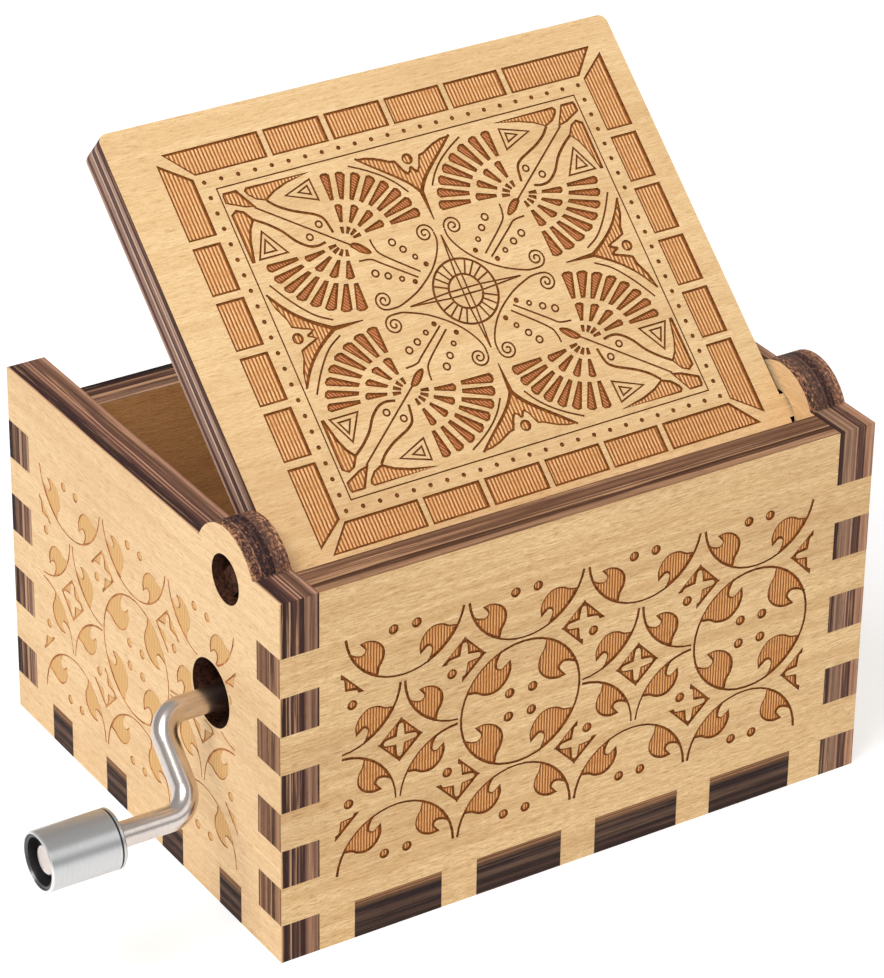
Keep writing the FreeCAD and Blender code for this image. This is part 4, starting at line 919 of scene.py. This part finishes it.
def wood_set(board, turn):
    """The seven materials of a board. turn moves their patterns."""
    name = board.node
    pitch, grain = WALL_PITCH, BURN_GRAIN
    if board.faint:
        hatch = fine = (srgb(230, 190, 132), srgb(204, 152, 92), srgb(220, 174, 114))
        rim = (srgb(208, 148, 92), srgb(152, 86, 44))
        grain = FAINT_BURN_GRAIN
    elif name == "lid":
        hatch = (srgb(254, 200, 140), srgb(136, 74, 30), srgb(206, 138, 78))
        fine = (srgb(222, 148, 96), srgb(126, 64, 30), srgb(184, 108, 62))
        rim = (srgb(146, 84, 34), srgb(100, 54, 18))
        pitch = LID_PITCH
    else:
        hatch = fine = (srgb(242, 182, 118), srgb(136, 72, 24), srgb(194, 120, 62))
        rim = (srgb(150, 86, 36), srgb(96, 50, 17))
    outer = VENEERS.get(name, VENEERS["lid"])
    inner = INNER_VENEERS.get(name, PLAIN_INNER_VENEER)
    return {
        "face": veneer(name + "_veneer", board, turn, *outer),
        "back": veneer(name + "_inner_veneer", board, turn + BACK_PATTERN, *inner),
        "edge": ply_edge(name + "_ply", board, turn),
        "hatch": hatched(name + "_hatch", board, turn, pitch, 0, *hatch),
        "fine_hatch": hatched(name + "_fine_hatch", board, turn, FINE_PITCH, FINE_SLANT, *fine),
        "burn": burnt(name + "_burn", board, turn, *rim, scale=grain),
        # char: burnt edges darkened further with painted shade, for the holes and the lid's tongues
        "char": burnt(name + "_char", board, turn, srgb(88, 52, 36), srgb(30, 18, 14))}


# --- metals and plastic
EVEN = (1, 1, 1)


def metal(name, colour, roughness, lines, grain, bump, tint=None, worn=0.12):
    """Metal with fine marks. lines stretches them along the axes: EVEN is cast, a small number drags."""
    shader = Shader(name)
    marks = shader.noise(shader.stretched(shader.place(), *lines), grain, 4, 0.6)
    broad = shader.noise(shader.place(), 0.35, 3, 0.55)
    tint = tint or tuple(0.8 * c for c in colour)
    base = shader.mix(shader.ramp(broad, (0.35, 0.0), (0.7, 0.6)), colour, tint)
    base = shader.mix(shader.ramp(marks, (0.45, 0.0), (0.8, 0.25)), base, tuple(0.6 * c for c in colour))
    rough = shader.ramp(marks, (0.3, roughness), (0.75, roughness + worn))
    relief = shader.bump(marks, bump, 0.6)
    return shader.finish(base, rough, relief, Metallic=1.0)


SLEEVE_START = 45.7  # mm along X, the inner end of the knob
SLEEVE_LENGTH = 7.4
# share of its length, and the metal's brightness there: darker at the inner end, painted shade in the groove near
# it, a painted highlight on the open rim
SLEEVE_COLOUR_AND_PAINTED_LIGHT = ((0.0, 0.30), (0.02, 0.62), (0.044, 0.62), (0.05, 0.12), (0.068, 0.1),
                (0.078, 0.74), (0.09, 0.6), (0.97, 0.6), (0.985, 0.8), (1.0, 0.8))


def turned_sleeve(name):
    """Satin aluminium with fine turning marks around it, with painted shade in the groove and a painted highlight
    on the rim.
    """
    shader = Shader(name)
    marks = shader.noise(shader.stretched(shader.place(), 9, 0.35, 0.35), 2.6, 4, 0.6)
    share = shader.math("DIVIDE", shader.along((1, 0, 0), SLEEVE_START), SLEEVE_LENGTH)
    # the metal's brightness along the knob, with painted shade in the groove and a painted highlight on the rim
    colour_and_painted_light = shader.ramp(share, *SLEEVE_COLOUR_AND_PAINTED_LIGHT)
    base = shader.mix(shader.ramp(marks, (0.4, 0.0), (0.75, 0.35)), colour_and_painted_light, (0.42, 0.42, 0.43))
    rough = shader.ramp(marks, (0.3, 0.27), (0.75, 0.36))
    relief = shader.bump(marks, 0.012, 0.6)
    return shader.finish(base, rough, relief, Metallic=1.0)


def nylon(name):
    shader = Shader(name)
    grain = shader.noise(shader.place(), 9, 3, 0.5)
    colour = shader.ramp(grain, (0.3, (0.01, 0.01, 0.01)), (0.8, (0.026, 0.026, 0.027)))
    rough = shader.ramp(grain, (0.3, 0.3), (0.8, 0.42))
    return shader.finish(colour, rough, shader.bump(grain, 0.015, 0.5))


METALS = {
    "zinc_casting": metal("zinc", (0.50, 0.51, 0.52), 0.42, EVEN, 5.0, 0.05),
    "comb_steel": metal("ground_steel", (0.60, 0.60, 0.61), 0.27, (1, 0.06, 1), 14.0, 0.012),
    "brass": metal("drawn_brass", (0.80, 0.58, 0.24), 0.24, (0.9, 6, 0.9), 2.4, 0.008,
                   tint=(0.66, 0.44, 0.16)),
    "bronze": metal("sintered_bronze", (0.60, 0.38, 0.19), 0.46, EVEN, 12.0, 0.03),
    "screw_steel": metal("plated_steel", (0.66, 0.66, 0.66), 0.3, EVEN, 9.0, 0.012),
    "wire_steel": metal("nickel_wire", (0.68, 0.61, 0.565), 0.23, (0.5, 0.5, 0.5), 5.0, 0.001,
                        tint=(0.57, 0.5, 0.455), worn=0.04),
    "shaft_steel": metal("bright_steel", (0.66, 0.66, 0.67), 0.2, (5, 0.6, 0.6), 2.4, 0.008),
    "lead": metal("lead", (0.26, 0.27, 0.29), 0.55, EVEN, 4.0, 0.05),
    "knob_aluminium": turned_sleeve("satin_aluminium"),
    "black_nylon": nylon("black_nylon")}


def finish_cad_nodes(left_alone):
    """Every CAD node that keeps its mesh gets the finish of its material slot."""
    for part in frame["record"]["subparts"]:
        if part["node"] not in left_alone:
            data = nodes[part["node"]].data
            for index in range(len(data.materials)):
                data.materials[index] = METALS[part["material_slot"]]


# --- boards of this box
LID_CENTRE = (1.04, 19.12)  # mm from the hinge's middle to the middle of the ornament

WALLS = (
    # node, right as seen from outside, cells, pitch, ornament centre (right, up), faint
    ("back_wall", (-1, 0, 0), "soso", 12.66, (-0.41, 19.61), False),
    ("front_wall", (1, 0, 0), "soso", 12.66, (0.0, 18.4), False),
    ("crank_wall", (0, 1, 0), "sos", 12.5, (-0.93, 18.1), True),
    ("plain_wall", (0, -1, 0), "sos", 12.5, (1.05, 18.0), True))
# how an engraving sits a little askew on its board: (share across, lean), (tilt, share up)
ASKEW = {
    "back_wall": ((1.011, 0.034), (-0.011, 1.004)),
    "crank_wall": ((0.996, 0.0), (-0.004, 1.016)),
    "lid": ((0.999, 0.0), (0.0095, 1.011))}
STRAIGHT = ((1, 0), (0, 1))


def laid(marks, node, centre):
    """The marks in their place on a board."""
    askew = np.array(ASKEW.get(node, STRAIGHT)).T
    return moved(marks, lambda points: points @ askew + np.array(centre))


def thinner(mark, share):
    """A stroke at a share of its width; an area stays as it is."""
    if mark.width is None:
        return mark
    return mark._replace(width=tuple(share * end for end in mark.width))


def dress_boards():
    dressed = []
    for turn, (node, right, cells, pitch, centre, faint) in enumerate(WALLS, 1):
        board = Board(node, right, (0, 0, 1), faint=faint)
        marks = laid(scroll(cells, pitch), node, centre)
        if faint:
            marks = [thinner(mark, FAINT_LINES) for mark in marks]
        if node == "crank_wall":
            marks.append(area(circle(CRANK_HOLE[:2], CRANK_HOLE[2], step=10), PLAIN))
        dressed.append(dressed_board(board, marks, wood_set(board, turn)))
    lid = Board("lid", (-1, 0, 0), LID_UP, "lid")
    across, up = lid.flat(LID_HINGE)
    marks = laid(lid_ornament(), "lid", (across + LID_CENTRE[0], up + LID_CENTRE[1]))
    dressed.append(dressed_board(lid, marks, wood_set(lid, LID_PATTERN)))
    floor_board = Board("bottom_board", (1, 0, 0), (0, 1, 0))
    dressed.append(dressed_board(floor_board, [], wood_set(floor_board, FLOOR_PATTERN)))
    return dressed


# --- stage, light and camera
FLOOR_HALF = 4.0  # m
FLOOR_TILES = 8
FLOOR_GLOW = 0.53
SKY_STRENGTH = 0.45


def floor():
    """A plain pale floor, wide enough for every view."""
    mesh = bmesh.new()
    bmesh.ops.create_grid(mesh, x_segments=FLOOR_TILES, y_segments=FLOOR_TILES, size=FLOOR_HALF)
    data = bpy.data.meshes.new("floor")
    mesh.to_mesh(data)
    mesh.free()
    piece = placed("floor", data)
    shader = Shader("floor_white")
    grain = shader.noise(shader.place(), 0.02, 2, 0.5)
    colour = shader.ramp(grain, (0.3, (0.62, 0.62, 0.62)), (0.7, (0.65, 0.65, 0.65)))
    shader.surface.inputs["Emission Color"].default_value = (1, 1, 1, 1)
    data.materials.append(shader.finish(colour, 0.9, Emission_Strength=FLOOR_GLOW))


def soft_light(name, place, size, power):
    """A square area light at place, aimed at the box."""
    data = bpy.data.lights.new(name, "AREA")
    data.shape, data.size, data.energy = "SQUARE", size, power
    lamp = placed(name, data)
    lamp.location = place
    lamp.rotation_euler = (VIEW_AIM - Vector(place)).to_track_quat("-Z", "Y").to_euler()


def studio():
    world = bpy.data.worlds.new("studio")
    world.use_nodes = True
    background = world.node_tree.nodes["Background"]
    background.inputs["Color"].default_value = (1, 1, 1, 1)
    background.inputs["Strength"].default_value = SKY_STRENGTH
    scene = bpy.context.scene
    scene.world = world
    soft_light("key", (0.36, 0.12, 0.58), 0.35, 3.4)
    soft_light("fill", (-0.35, 0.5, 0.45), 0.4, 0.45)
    scene.view_settings.view_transform = "Standard"
    scene.view_settings.look = "None"
    scene.cycles.use_denoising = True


def camera():
    data = bpy.data.cameras.new("photo_view")
    data.lens, data.sensor_width, data.sensor_fit = VIEW_LENS, VIEW_SENSOR, "AUTO"
    data.clip_start, data.clip_end = 0.01, 20
    viewer = placed("photo_view", data)
    turn = VIEW_DIRECTION.to_track_quat("-Z", "Y").to_matrix()
    turn = turn @ Matrix.Rotation(math.radians(VIEW_ROLL), 3, "Z")
    viewer.matrix_world = Matrix.Translation(VIEW_AIM - VIEW_DIRECTION * VIEW_DISTANCE) @ turn.to_4x4()
    bpy.context.scene.camera = viewer


dressed = dress_boards()
finish_cad_nodes([piece.name.replace("_dressed", "") for piece in dressed])
floor()
studio()
camera()
